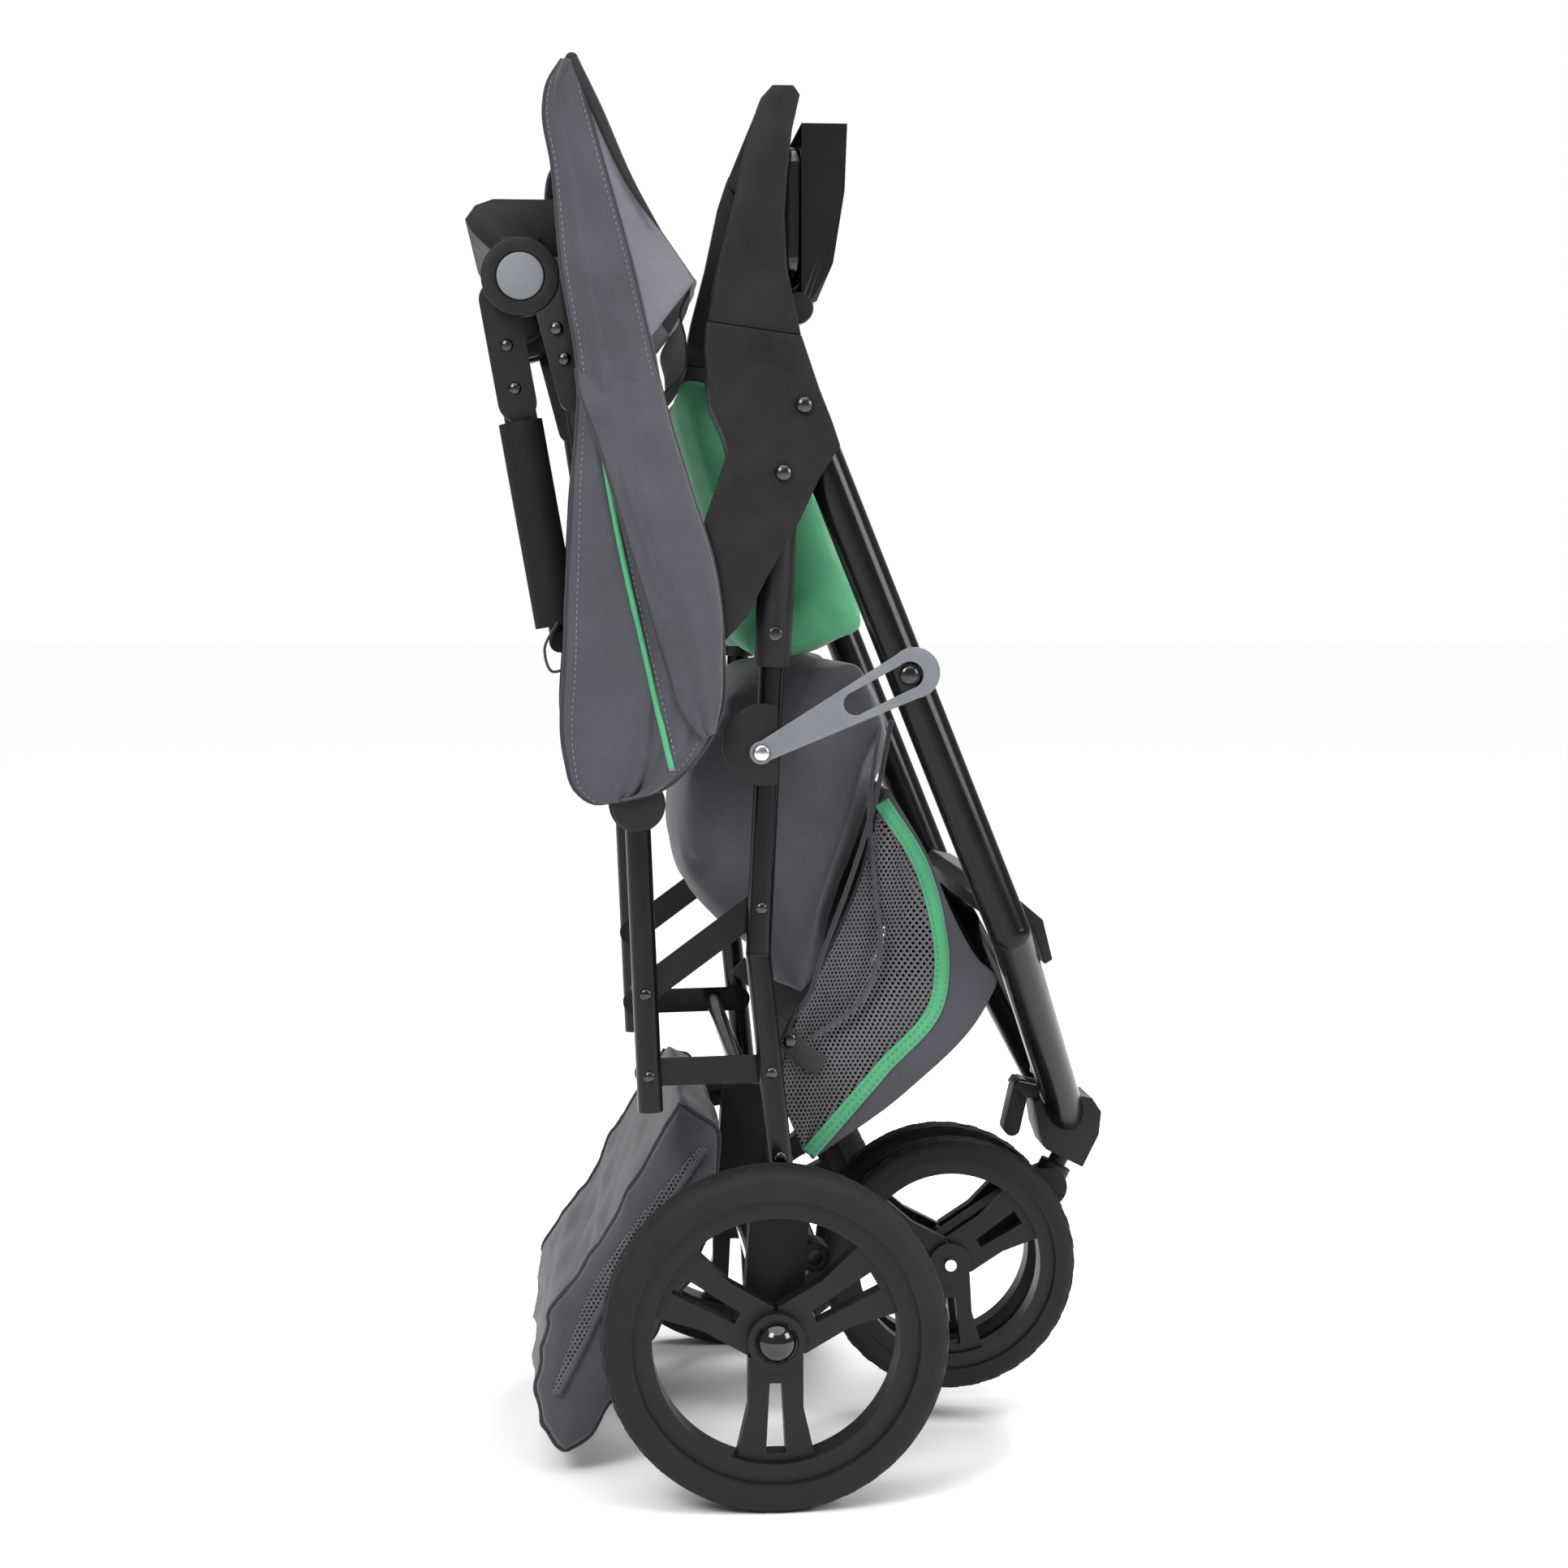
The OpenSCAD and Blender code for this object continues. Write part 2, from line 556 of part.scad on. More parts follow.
module child_tray() color("#161618") difference() {
    union() {
        slab([[dish[0] + 26, dish[2]], [dish[1], dish[2]], [dish[1], dish[3] - 8],
              [dish[1] - 10, dish[3]], [dish[0] + 22, dish[3]], [dish[0] + 8, dish[3] - 5],
              [dish[0], dish[3] - 16], [dish[0] + 6, dish[3] - 26], [dish[0] + 15, dish[3] - 35]],
             -dish_y, dish_y);
        both_sides() {
            across(hub, 16, -ear_y[1], -ear_y[0]);
            translate([hub[0] - 15, -ear_y[1], hub[1]]) cube([30, ear_y[1] - ear_y[0], 34]);
        }
    }
    both_sides() across(hub, hub_pin_r + run, -side_y, 1 - ear_y[0]);
    for (s = [-1, 1]) translate([hub[0] + 18, s * (dish_y - cup_d / 2 - 6), dish[3] - cup_depth])
        cylinder(d = cup_d, h = cup_depth + 1);
    translate([dish[0] + 27, -dish_y + cup_d + 18, dish[3] - cup_depth + 6])
        cube([dish[1] - dish[0] - 36, 2 * (dish_y - cup_d - 18), cup_depth]);
}

tray_y = bracket_in - 2;                          // half width of the parent tray
tray_x = [shoulder[0] + 2, shoulder[0] + 36];
tray_z = [shoulder[1] + 80, shoulder[1] + 222];
lid_half = tray_y - cup_d - 22;
lid_pin = [tray_x[0] + 2.6, tray_z[0] + 33];

module parent_tray() color("#131315") difference() {
    union() {
        slab([[tray_x[0], tray_z[0]], [tray_x[0] + 12, tray_z[0] + 4], [tray_x[1] - 9, tray_z[0] + 34],
              [tray_x[1], tray_z[0] + 90], [tray_x[1] + 2, tray_z[1]], [tray_x[0], tray_z[1]]],
             -tray_y, tray_y);
        across(tray_pin, 10, -tray_y, tray_y);
    }
    for (s = [-1, 1]) translate([tray_x[0] - 1, s * (tray_y - cup_d / 2 - 10), tray_z[0] + 94])
        rotate([0, 90, 0]) cylinder(d = cup_d, h = cup_depth - 1);
    translate([tray_x[0] - 1, 4 - lid_half, tray_z[0] + 40]) cube([21, 2 * lid_half - 8, 84]);
    translate([tray_x[0] - 1, -lid_half - 1, tray_z[0] + 30]) cube([4.5, 2 * lid_half + 2, 98]);
    across(lid_pin, 3.2, -lid_half - 1, lid_half + 1);
    across(lid_pin, 1.4 + run, -lid_half - 5, lid_half + 5);
    across(tray_pin, pin_r + run, -tray_y - 1, tray_y + 1);
}

module tray_lid() color("#19191c") {
    translate([tray_x[0], -lid_half, lid_pin[1] - 0.5]) cube([2.8, 2 * lid_half, 91]);
    across(lid_pin, 2.3, -lid_half, lid_half);
    across(lid_pin, 1.4, -lid_half - 4, lid_half + 4);
    translate([tray_x[0] - 2, -14, lid_pin[1] + 82]) cube([2.2, 28, 5]);
}

// ---- assembly ------------------------------------------------------------

handle_arms();
handle_grip();
shoulder_bracket_right();
shoulder_bracket_left();
rear_leg_right();
rear_leg_left();
leg_sockets();
axle_feet();
rear_axle();
side_tubes();
hip_hubs();
seat_tubes();
upper_braces();
lower_braces();
cross_tube();
shoulder_pins();
frame_rivets();
latch_flange();
tray_posts();
arm_hubs();
seat_back();
seat_pad();
basket();
basket_floor();
canopy_cover();
canopy_bow();
front_tube_right();
front_tube_left();
front_head();
footrest();
footrest_bar();
latch_post();
swivel_lock();
front_fork();
front_axle();
front_tyre_right();
front_rim_right();
front_tyre_left();
front_rim_left();
rear_tyre_right();
rear_rim_right();
hub_cap_right();
rear_tyre_left();
rear_rim_left();
hub_cap_left();
fold_latch();
child_tray();
grab_bar();
grab_bar_foam();
release_button_right();
release_button_left();
parent_tray();
tray_lid();
brake_bar();
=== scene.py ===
"""Dresses the folded jogging stroller: cloth, moulded parts, tubes, wheels, light and camera."""

import json
import logging
import math
from dataclasses import dataclass, field
from enum import Enum
from typing import Iterable, Optional, Sequence

import bmesh
import bpy
import numpy as np
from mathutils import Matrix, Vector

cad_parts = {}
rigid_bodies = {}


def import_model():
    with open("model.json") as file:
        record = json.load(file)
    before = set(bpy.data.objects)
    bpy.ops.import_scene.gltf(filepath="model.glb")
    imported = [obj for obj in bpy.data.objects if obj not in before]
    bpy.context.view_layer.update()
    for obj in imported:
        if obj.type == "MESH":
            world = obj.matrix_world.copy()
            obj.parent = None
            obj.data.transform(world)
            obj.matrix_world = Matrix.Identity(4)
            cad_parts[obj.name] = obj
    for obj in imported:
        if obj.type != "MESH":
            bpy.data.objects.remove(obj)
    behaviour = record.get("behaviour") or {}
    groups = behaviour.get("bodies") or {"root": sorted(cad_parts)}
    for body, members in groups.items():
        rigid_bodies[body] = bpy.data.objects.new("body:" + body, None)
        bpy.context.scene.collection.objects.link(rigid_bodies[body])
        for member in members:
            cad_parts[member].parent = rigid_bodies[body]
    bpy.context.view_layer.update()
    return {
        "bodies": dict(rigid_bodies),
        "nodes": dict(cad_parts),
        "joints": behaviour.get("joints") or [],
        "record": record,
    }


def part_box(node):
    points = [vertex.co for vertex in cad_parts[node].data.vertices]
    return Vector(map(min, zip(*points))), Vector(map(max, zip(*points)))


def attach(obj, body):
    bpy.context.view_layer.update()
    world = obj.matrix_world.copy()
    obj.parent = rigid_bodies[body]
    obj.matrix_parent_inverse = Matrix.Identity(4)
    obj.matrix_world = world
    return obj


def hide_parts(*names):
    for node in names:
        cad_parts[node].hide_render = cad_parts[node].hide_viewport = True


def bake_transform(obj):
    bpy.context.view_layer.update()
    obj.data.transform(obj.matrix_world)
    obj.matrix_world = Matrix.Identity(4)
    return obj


LOG = logging.getLogger("stroller")
MM = 0.001
AXLE_X = -31.5            # place of the rear axle along X, in millimetres
ROOF_CLOTH, CLOTH, LINING, THIN_CLOTH, NETTING = 0.0018, 0.0016, 0.0014, 0.0012, 0.0009  # metres
MERGE_WITHIN = 2e-6       # corners of a CAD mesh nearer than this are one, in metres
SEAT, BOW, FRONT = "seat_frame", "canopy_bow", "front_frame"
Array = np.ndarray


class Side(Enum):
    """Which side of the stroller a paired piece is on; the value is the sign of Y."""

    RIGHT = -1
    LEFT = 1

    @property
    def word(self) -> str:
        """The side's name as it ends a piece's name."""
        return self.name.lower()


def at(points: Sequence[Sequence[float]], y: float = 0.0) -> Array:
    """Side-plane points in millimetres from the rear axle, as places in metres.

    Args:
        points: (x, z) or (x, z, y) rows; a third number overrides y.
        y: distance from the middle plane, for rows that give none.

    Returns:
        An (n, 3) array in the row frame.
    """
    rows = [(p[0] + AXLE_X, p[2] if len(p) > 2 else y, p[1]) for p in points]
    return np.array(rows, dtype=float) * MM


# ---- curves and grids ----------------------------------------------------


def along(points: Array, count: int) -> Array:
    """A smooth path through points: each coordinate is a piecewise cubic in arc length.

    Args:
        points: (n, 3) places.
        count: how many places to return, equally spaced in arc length.

    Returns:
        A (count, 3) array.
    """
    step = np.linalg.norm(np.diff(points, axis=0), axis=1)
    s = np.concatenate([[0.0], np.cumsum(step)])
    slope = np.gradient(points, s, axis=0)
    t = np.linspace(0.0, s[-1], count)
    i = np.clip(np.searchsorted(s, t, side="right") - 1, 0, len(s) - 2)
    h = (s[i + 1] - s[i])[:, None]
    u = ((t - s[i]) / (s[i + 1] - s[i]))[:, None]
    return ((2 * u**3 - 3 * u**2 + 1) * points[i] + (u**3 - 2 * u**2 + u) * h * slope[i]
            + (3 * u**2 - 2 * u**3) * points[i + 1] + (u**3 - u**2) * h * slope[i + 1])


def grid_faces(rows: int, cols: int, wrap_rows: bool = False, wrap_cols: bool = False) -> Array:
    """Quads of a grid whose vertex (i, j) has number i * cols + j.

    Args:
        rows: vertices along the first parameter.
        cols: vertices along the second parameter.
        wrap_rows: join the last row to the first.
        wrap_cols: join the last column to the first.

    Returns:
        An (n, 4) array of vertex numbers.
    """
    i, j = np.meshgrid(np.arange(rows if wrap_rows else rows - 1),
                       np.arange(cols if wrap_cols else cols - 1), indexing="ij")
    i, j = i.ravel(), j.ravel()
    k, m = (i + 1) % rows, (j + 1) % cols
    return np.stack([i * cols + j, k * cols + j, k * cols + m, i * cols + m], axis=1)


def build(name: str, vertices: Array, faces: Sequence[Sequence[int]], smooth: bool = True,
          outward: bool = True) -> bpy.types.Object:
    """Puts vertices and faces into a new object at the origin.

    Args:
        name: the piece's name.
        vertices: (n, 3) places in metres.
        faces: rows of vertex numbers.
        smooth: shade the faces smooth.
        outward: turn the faces to point outwards.

    Returns:
        The new object.
    """
    mesh = bpy.data.meshes.new(name)
    mesh.from_pydata([tuple(v) for v in vertices.tolist()], [], [tuple(f) for f in faces])
    obj = bpy.data.objects.new(name, mesh)
    bpy.context.scene.collection.objects.link(obj)
    if outward:
        work = bmesh.new()
        work.from_mesh(mesh)
        bmesh.ops.recalc_face_normals(work, faces=work.faces)
        work.to_mesh(mesh)
        work.free()
    mesh.polygons.foreach_set("use_smooth", [smooth] * len(mesh.polygons))
    return obj


def tube(name: str, path: Array, radius: float, flat: float = 1.0,
         sides: int = 16) -> bpy.types.Object:
    """A closed tube: a circle of the given radius carried along a path on turning frames.

    Args:
        name: the piece's name.
        path: (n, 3) centre line.
        radius: the circle's radius in metres.
        flat: squash of the circle along its second axis, for a ribbon or a webbing.
        sides: vertices round the circle.

    Returns:
        The new object.
    """
    vertices, faces = tube_arrays(path, radius, flat, sides)
    return build(name, vertices, faces)


def tube_arrays(path: Array, radius: float | Array, flat: float = 1.0,
                sides: int = 16, across: Optional[Array] = None) -> tuple[Array, list]:
    """The arrays behind tube(): centre + radius (cos a * side + flat * sin a * up).

    Args:
        path: (n, 3) centre line.
        radius: the circle's radius in metres, or an (n, 1, 1) array of radii.
        flat: squash of the circle along its second axis.
        sides: vertices round the circle.
        across: the way that the first axis leans; Y where none is given.

    Returns:
        (vertices, faces).
    """
    tangent = np.gradient(path, axis=0)
    tangent /= np.linalg.norm(tangent, axis=1)[:, None]
    guide = np.array([0.0, 1.0, 0.0]) if across is None else across
    side = guide - (tangent @ guide)[:, None] * tangent
    weak = np.linalg.norm(side, axis=1) < 0.2
    side[weak] = np.cross(tangent[weak], [1.0, 0.0, 0.0])
    side /= np.linalg.norm(side, axis=1)[:, None]
    up = np.cross(tangent, side)
    a = np.linspace(0, 2 * math.pi, sides, endpoint=False)
    ring = (np.cos(a)[None, :, None] * side[:, None, :]
            + flat * np.sin(a)[None, :, None] * up[:, None, :]) * radius
    vertices = (path[:, None, :] + ring).reshape(-1, 3)
    faces = grid_faces(len(path), sides, wrap_cols=True).tolist()
    last = (len(path) - 1) * sides
    faces += [list(range(sides)), [last + k for k in range(sides)]]
    return vertices, faces


def joined(name: str, parts: Iterable[tuple[Array, list]],
           smooth: bool = True) -> bpy.types.Object:
    """One object from several (vertices, faces) pairs.

    Args:
        name: the piece's name.
        parts: the pairs; each one's faces count from its own first vertex.
        smooth: shade the faces smooth.

    Returns:
        The new object.
    """
    vertices, faces, base = [], [], 0
    for points, quads in parts:
        vertices.append(points)
        faces += [[k + base for k in quad] for quad in quads]
        base += len(points)
    return build(name, np.concatenate(vertices), faces, smooth)


def dome_arrays(centre: Array, normal: Array, radius: float, height: float) -> tuple[Array, list]:
    """A closed domed rivet head: rings of radius r cos b at height h sin b above a flat base.

    Args:
        centre: middle of the base.
        normal: the way the head stands out.
        radius: radius of the base.
        height: height of the head.

    Returns:
        (vertices, faces).
    """
    n = normal / np.linalg.norm(normal)
    u = np.cross(n, [0.0, 0.0, 1.0])
    u /= np.linalg.norm(u)
    v = np.cross(n, u)
    a = np.linspace(0, 2 * math.pi, 20, endpoint=False)
    b = np.linspace(0, 0.47 * math.pi, 6)
    ring = np.cos(a)[:, None] * u + np.sin(a)[:, None] * v
    points = (centre + radius * np.cos(b)[:, None, None] * ring[None]
              + height * np.sin(b)[:, None, None] * n).reshape(-1, 3)
    faces = grid_faces(6, 20, wrap_cols=True).tolist()
    faces += [list(range(20)), list(range(100, 120))]
    return points, faces


def stitch_arrays(path: Array, lift: Array, length: float = 0.0032, gap: float = 0.0016,
                  width: float = 0.0009) -> tuple[Array, list]:
    """A row of sewn stitches: six-sided slivers laid end to end along a path.

    Args:
        path: (n, 3) seam line.
        lift: unit vector out of the cloth.
        length: length of a stitch.
        gap: space between stitches.
        width: width of a stitch.

    Returns:
        (vertices, faces) of all the stitches.
    """
    total = np.linalg.norm(np.diff(path, axis=0), axis=1).sum()
    count = max(2, int(total / (length + gap)))
    centre = along(path, count)
    tangent = np.gradient(centre, axis=0)
    tangent /= np.linalg.norm(tangent, axis=1)[:, None]
    side = np.cross(tangent, lift)
    shape = np.array([[-0.5, 0, 0], [-0.25, 0.5, 0.5], [0.25, 0.5, 0.5], [0.5, 0, 0],
                      [0.25, -0.5, 0.5], [-0.25, -0.5, 0.5], [0, 0, -0.4]])
    points = (centre[:, None, :] + shape[None, :, :1] * length * tangent[:, None, :]
              + shape[None, :, 1:2] * width * side[:, None, :]
              + shape[None, :, 2:] * width * lift[None, None, :]).reshape(-1, 3)
    faces = [[0, 1, 5], [1, 2, 4], [1, 4, 5], [2, 3, 4], [0, 6, 1], [1, 6, 2], [2, 6, 3],
             [3, 6, 4], [4, 6, 5], [5, 6, 0]]
    all_faces = (np.arange(count)[:, None, None] * 7 + np.array(faces)[None]).reshape(-1, 3)
    return points, all_faces.tolist()


# ---- finishes ------------------------------------------------------------


class Tree:
    """Short hand for adding and joining shader nodes in one tree."""

    def __init__(self, tree: bpy.types.NodeTree) -> None:
        """Keeps the tree."""
        self.tree = tree

    def add(self, kind: str, operation: Optional[str] = None, **inputs: object) -> bpy.types.Node:
        """Adds a node and sets or links its inputs.

        Args:
            kind: the node's type, without the ShaderNode prefix.
            operation: its operation, where it has one.
            inputs: i0, i1... for numbered inputs, or names with _ for a space; a socket is linked.

        Returns:
            The node.
        """
        node = self.tree.nodes.new("ShaderNode" + kind)
        if operation:
            node.operation = operation
        for key, value in inputs.items():
            slot = node.inputs[int(key[1:])] if key[0] == "i" and key[1:].isdigit() \
                else node.inputs[key.replace("_", " ")]
            if isinstance(value, bpy.types.NodeSocket):
                self.tree.links.new(value, slot)
            else:
                slot.default_value = value
        return node

    def math(self, operation: str, a: object, b: object = 0.0) -> bpy.types.NodeSocket:
        """The result of a math node on two numbers or sockets.

        Args:
            operation: the node's operation.
            a: first number or socket.
            b: second number or socket.

        Returns:
            The node's output socket.
        """
        return self.add("Math", operation, i0=a, i1=b).outputs[0]

    def vmath(self, operation: str, a: object, b: object = (0, 0, 0)) -> bpy.types.NodeSocket:
        """The vector result of a vector math node.

        Args:
            operation: the node's operation.
            a: first vector or socket.
            b: second vector or socket.

        Returns:
            The node's output socket.
        """
        return self.add("VectorMath", operation, i0=a, i1=b).outputs[0]


def new_group(name: str, inputs: dict[str, tuple[str, object]],
              outputs: dict[str, str]) -> tuple[Tree, bpy.types.Node, bpy.types.Node]:
    """An empty node group with named sockets.

    Args:
        name: the group's name.
        inputs: socket name to (kind, default).
        outputs: socket name to kind.

    Returns:
        (tree helper, group input node, group output node).
    """
    group = bpy.data.node_groups.new(name, "ShaderNodeTree")
    for label, (kind, default) in inputs.items():
        socket = group.interface.new_socket(label, in_out="INPUT", socket_type="NodeSocket" + kind)
        if default is not None:
            socket.default_value = default
    for label, kind in outputs.items():
        group.interface.new_socket(label, in_out="OUTPUT", socket_type="NodeSocket" + kind)
    return (Tree(group), group.nodes.new("NodeGroupInput"), group.nodes.new("NodeGroupOutput"))


class Effects:
    """The shared surface effects, each a node group built once."""

    def __init__(self) -> None:
        """Builds the groups."""
        self.weave = self._weave()
        self.grain = self._grain()
        self.net = self._net()

    @staticmethod
    def _weave() -> bpy.types.NodeTree:
        """Plain weave: the product of two sines of crossed thread counts, and painted shade of soft
        creases.

        Returns:
            A group from Vector and Threads to Height and Shade.
        """
        t, gi, go = new_group("plain_weave", {"Vector": ("Vector", None),
                                              "Threads": ("Float", 900.0)},
                              {"Height": "Float", "Shade": "Float"})
        xyz = t.add("SeparateXYZ", i0=gi.outputs["Vector"]).outputs
        warp = t.math("MULTIPLY", t.math("ADD", xyz[0], xyz[1]), gi.outputs["Threads"])
        weft = t.math("MULTIPLY", t.math("SUBTRACT", xyz[2], t.math("MULTIPLY", xyz[1], 0.31)),
                      gi.outputs["Threads"])
        cross = t.math("MULTIPLY", t.math("SINE", warp), t.math("SINE", weft))
        # painted shade: broad fold noise darkens and lightens the cloth as the shade of soft creases
        # would
        fold = t.add("TexNoise", Vector=gi.outputs["Vector"], Scale=17.0, Detail=3.0,
                     Roughness=0.55).outputs[0]
        slub = t.add("TexNoise", Vector=gi.outputs["Vector"], Scale=620.0, Detail=1.0).outputs[0]
        t.tree.links.new(t.math("ADD", t.math("MULTIPLY", cross, 0.5), slub), go.inputs["Height"])
        # Shade: seven tenths painted crease shade (fold), three tenths the yarn's own uneven tone
        # (slub)
        shade = t.math("ADD", t.math("MULTIPLY", fold, 0.7), t.math("MULTIPLY", slub, 0.3))
        t.tree.links.new(shade, go.inputs["Shade"])
        return t.tree

    @staticmethod
    def _grain() -> bpy.types.NodeTree:
        """Moulding grain: fine noise for height, broad noise for handling marks.

        Returns:
            A group from Vector and Fineness to Height and Shade.
        """
        t, gi, go = new_group("moulded_grain", {"Vector": ("Vector", None),
                                                "Fineness": ("Float", 900.0)},
                              {"Height": "Float", "Shade": "Float"})
        fine = t.add("TexNoise", Vector=gi.outputs["Vector"], Scale=gi.outputs["Fineness"],
                     Detail=2.0, Roughness=0.6).outputs[0]
        broad = t.add("TexNoise", Vector=gi.outputs["Vector"], Scale=23.0, Detail=5.0,
                      Roughness=0.65).outputs[0]
        t.tree.links.new(fine, go.inputs["Height"])
        t.tree.links.new(broad, go.inputs["Shade"])
        return t.tree

    @staticmethod
    def _net() -> bpy.types.NodeTree:
        """Hexagonal netting: distance to the nearer of two staggered lattices' cell edges.

        Returns:
            A group from Vector and Cells to Cover (1 on a thread) and Height.
        """
        t, gi, go = new_group("hexagon_net", {"Vector": ("Vector", None),
                                              "Cells": ("Float", 150.0),
                                              "Thread": ("Float", 0.36)},
                              {"Cover": "Float", "Height": "Float"})
        xyz = t.add("SeparateXYZ", i0=gi.outputs["Vector"]).outputs
        flat = t.add("CombineXYZ", i0=t.math("ADD", xyz[0], xyz[1]), i1=xyz[2]).outputs[0]
        p = t.add("VectorMath", "SCALE", i0=flat, Scale=gi.outputs["Cells"]).outputs[0]
        cell, half = (1.0, 1.7320508, 1.0), (0.5, 0.8660254, 0.5)
        p = t.vmath("ADD", p, (400.0, 400.0 * 1.7320508, 0.0))
        distances = []
        for shift in ((0.0, 0.0, 0.0), half):
            g = t.vmath("SUBTRACT", t.vmath("MODULO", t.vmath("ADD", p, shift), cell), half)
            g = t.vmath("ABSOLUTE", t.vmath("MULTIPLY", g, (1.0, 1.0, 0.0)))
            slant = t.add("VectorMath", "DOT_PRODUCT", i0=g, i1=half).outputs["Value"]
            distances.append(t.math("MAXIMUM", t.add("SeparateXYZ", i0=g).outputs[0], slant))
        nearest = t.math("MINIMUM", distances[0], distances[1])
        cover = t.math("GREATER_THAN", nearest, gi.outputs["Thread"])
        t.tree.links.new(cover, go.inputs["Cover"])
        t.tree.links.new(nearest, go.inputs["Height"])
        return t.tree


@dataclass(frozen=True)
class Finish:
    """How a surface looks: its colours, gloss, relief and the effect that varies them."""

    name: str
    dark: tuple[float, float, float]
    light: tuple[float, float, float]
    rough: tuple[float, float] = (0.45, 0.6)
    effect: str = "grain"
    count: float = 900.0
    depth: float = 0.00012
    metal: float = 0.0
    coat: float = 0.0
    sheen: float = 0.0
    holes: float = 0.0
    specular: float = 0.5

    def make(self, effects: Effects) -> bpy.types.Material:
        """Builds the material.

        Args:
            effects: the shared node groups.

        Returns:
            The new material.
        """
        material = bpy.data.materials.new(self.name)
        material.use_nodes = True
        material.node_tree.nodes.clear()
        t = Tree(material.node_tree)
        place = t.add("TexCoord").outputs["Object"]
        group = t.tree.nodes.new("ShaderNodeGroup")
        group.node_tree = effects.weave if self.effect == "weave" else effects.grain
        t.tree.links.new(place, group.inputs["Vector"])
        group.inputs[1].default_value = self.count
        shade = t.add("MapRange", Value=group.outputs["Shade"], From_Min=0.3,
                      From_Max=0.7).outputs[0]
        # tint: for woven finishes partly painted crease shade, for moulded finishes handling marks
        tint = t.tree.nodes.new("ShaderNodeMix")
        tint.data_type = "RGBA"
        t.tree.links.new(shade, tint.inputs[0])
        tint.inputs[6].default_value = (*self.dark, 1.0)
        tint.inputs[7].default_value = (*self.light, 1.0)
        gloss = t.add("MapRange", Value=shade, To_Min=self.rough[0],
                      To_Max=self.rough[1]).outputs[0]
        bump = t.add("Bump", Height=group.outputs["Height"], Distance=self.depth)
        bump.inputs["Strength"].default_value = 0.8
        skin = t.add("BsdfPrincipled", Base_Color=tint.outputs[2], Roughness=gloss,
                     Metallic=self.metal, Normal=bump.outputs[0])
        skin.inputs["Coat Weight"].default_value = self.coat
        skin.inputs["Coat Roughness"].default_value = 0.08
        skin.inputs["Sheen Weight"].default_value = self.sheen
        skin.inputs["Sheen Roughness"].default_value = 0.45
        skin.inputs["Specular IOR Level"].default_value = self.specular
        if self.holes:
            net = t.tree.nodes.new("ShaderNodeGroup")
            net.node_tree = effects.net
            t.tree.links.new(place, net.inputs["Vector"])
            net.inputs["Cells"].default_value = self.holes
            t.tree.links.new(net.outputs["Cover"], skin.inputs["Alpha"])
        t.add("OutputMaterial", Surface=skin.outputs[0])
        return material


FINISHES: tuple[Finish, ...] = (
    Finish("textured_black_plastic", (0.0065, 0.0065, 0.0072), (0.012, 0.012, 0.013), (0.40, 0.54),
           count=1500.0, depth=0.00016, specular=0.22),
    Finish("satin_black_tube", (0.0025, 0.0025, 0.003), (0.005, 0.005, 0.0056), (0.16, 0.27),
           count=1900.0, depth=0.00002, coat=0.08, specular=0.2),
    Finish("glossy_black_plastic", (0.0025, 0.0025, 0.003), (0.005, 0.005, 0.0056), (0.06, 0.14),
           count=700.0, depth=0.00001, coat=0.6, specular=0.42),
    Finish("slate_grey_plastic", (0.115, 0.125, 0.140), (0.150, 0.160, 0.178), (0.38, 0.5),
           count=1300.0, depth=0.00006),
    Finish("blackened_steel", (0.045, 0.045, 0.048), (0.085, 0.085, 0.09), (0.16, 0.28), metal=1.0,
           count=1200.0, depth=0.00003),
    Finish("bright_steel", (0.55, 0.55, 0.56), (0.68, 0.68, 0.69), (0.12, 0.26), metal=1.0,
           count=1200.0, depth=0.00002),
    Finish("tyre_rubber", (0.0085, 0.0085, 0.009), (0.016, 0.016, 0.017), (0.62, 0.8),
           count=1100.0, depth=0.0003, specular=0.2),
    Finish("rim_plastic", (0.006, 0.006, 0.0065), (0.010, 0.010, 0.011), (0.34, 0.46),
           count=1700.0, depth=0.00010, specular=0.24),
    Finish("closed_foam", (0.006, 0.006, 0.0068), (0.010, 0.010, 0.011), (0.6, 0.75), count=2100.0,
           depth=0.0003, specular=0.15),
    Finish("charcoal_cloth", (0.034, 0.034, 0.043), (0.060, 0.061, 0.075), (0.66, 0.82), "weave",
           2600.0, 0.00022, sheen=0.25, specular=0.3),
    Finish("silver_cloth", (0.094, 0.095, 0.118), (0.138, 0.140, 0.168), (0.6, 0.75), "weave",
           2600.0, 0.00020, sheen=0.3, specular=0.35),
    Finish("binding_cloth", (0.018, 0.018, 0.023), (0.032, 0.032, 0.040), (0.7, 0.85), "weave",
           3400.0, 0.00025, sheen=0.2, specular=0.3),
    Finish("black_lining", (0.008, 0.008, 0.009), (0.015, 0.015, 0.017), (0.6, 0.75), "weave",
           2600.0, 0.00016, sheen=0.05, specular=0.3),
    Finish("green_cloth", (0.048, 0.240, 0.112), (0.078, 0.330, 0.160), (0.62, 0.78), "weave",
           2600.0, 0.00020, sheen=0.25, specular=0.3),
    Finish("green_binding", (0.045, 0.260, 0.118), (0.070, 0.350, 0.165), (0.6, 0.75), "weave",
           3600.0, 0.00024, sheen=0.2, specular=0.3),
    Finish("webbing", (0.014, 0.014, 0.017), (0.028, 0.028, 0.033), (0.6, 0.8), "weave", 1900.0,
           0.0005, sheen=0.15, specular=0.35),
    Finish("hexagon_netting", (0.070, 0.069, 0.077), (0.120, 0.118, 0.130), (0.5, 0.65), "weave",
           3000.0, 0.0002, holes=265.0),
    Finish("grey_thread", (0.10, 0.10, 0.12), (0.15, 0.15, 0.17), (0.6, 0.7), "weave", 5000.0,
           0.0001),
)


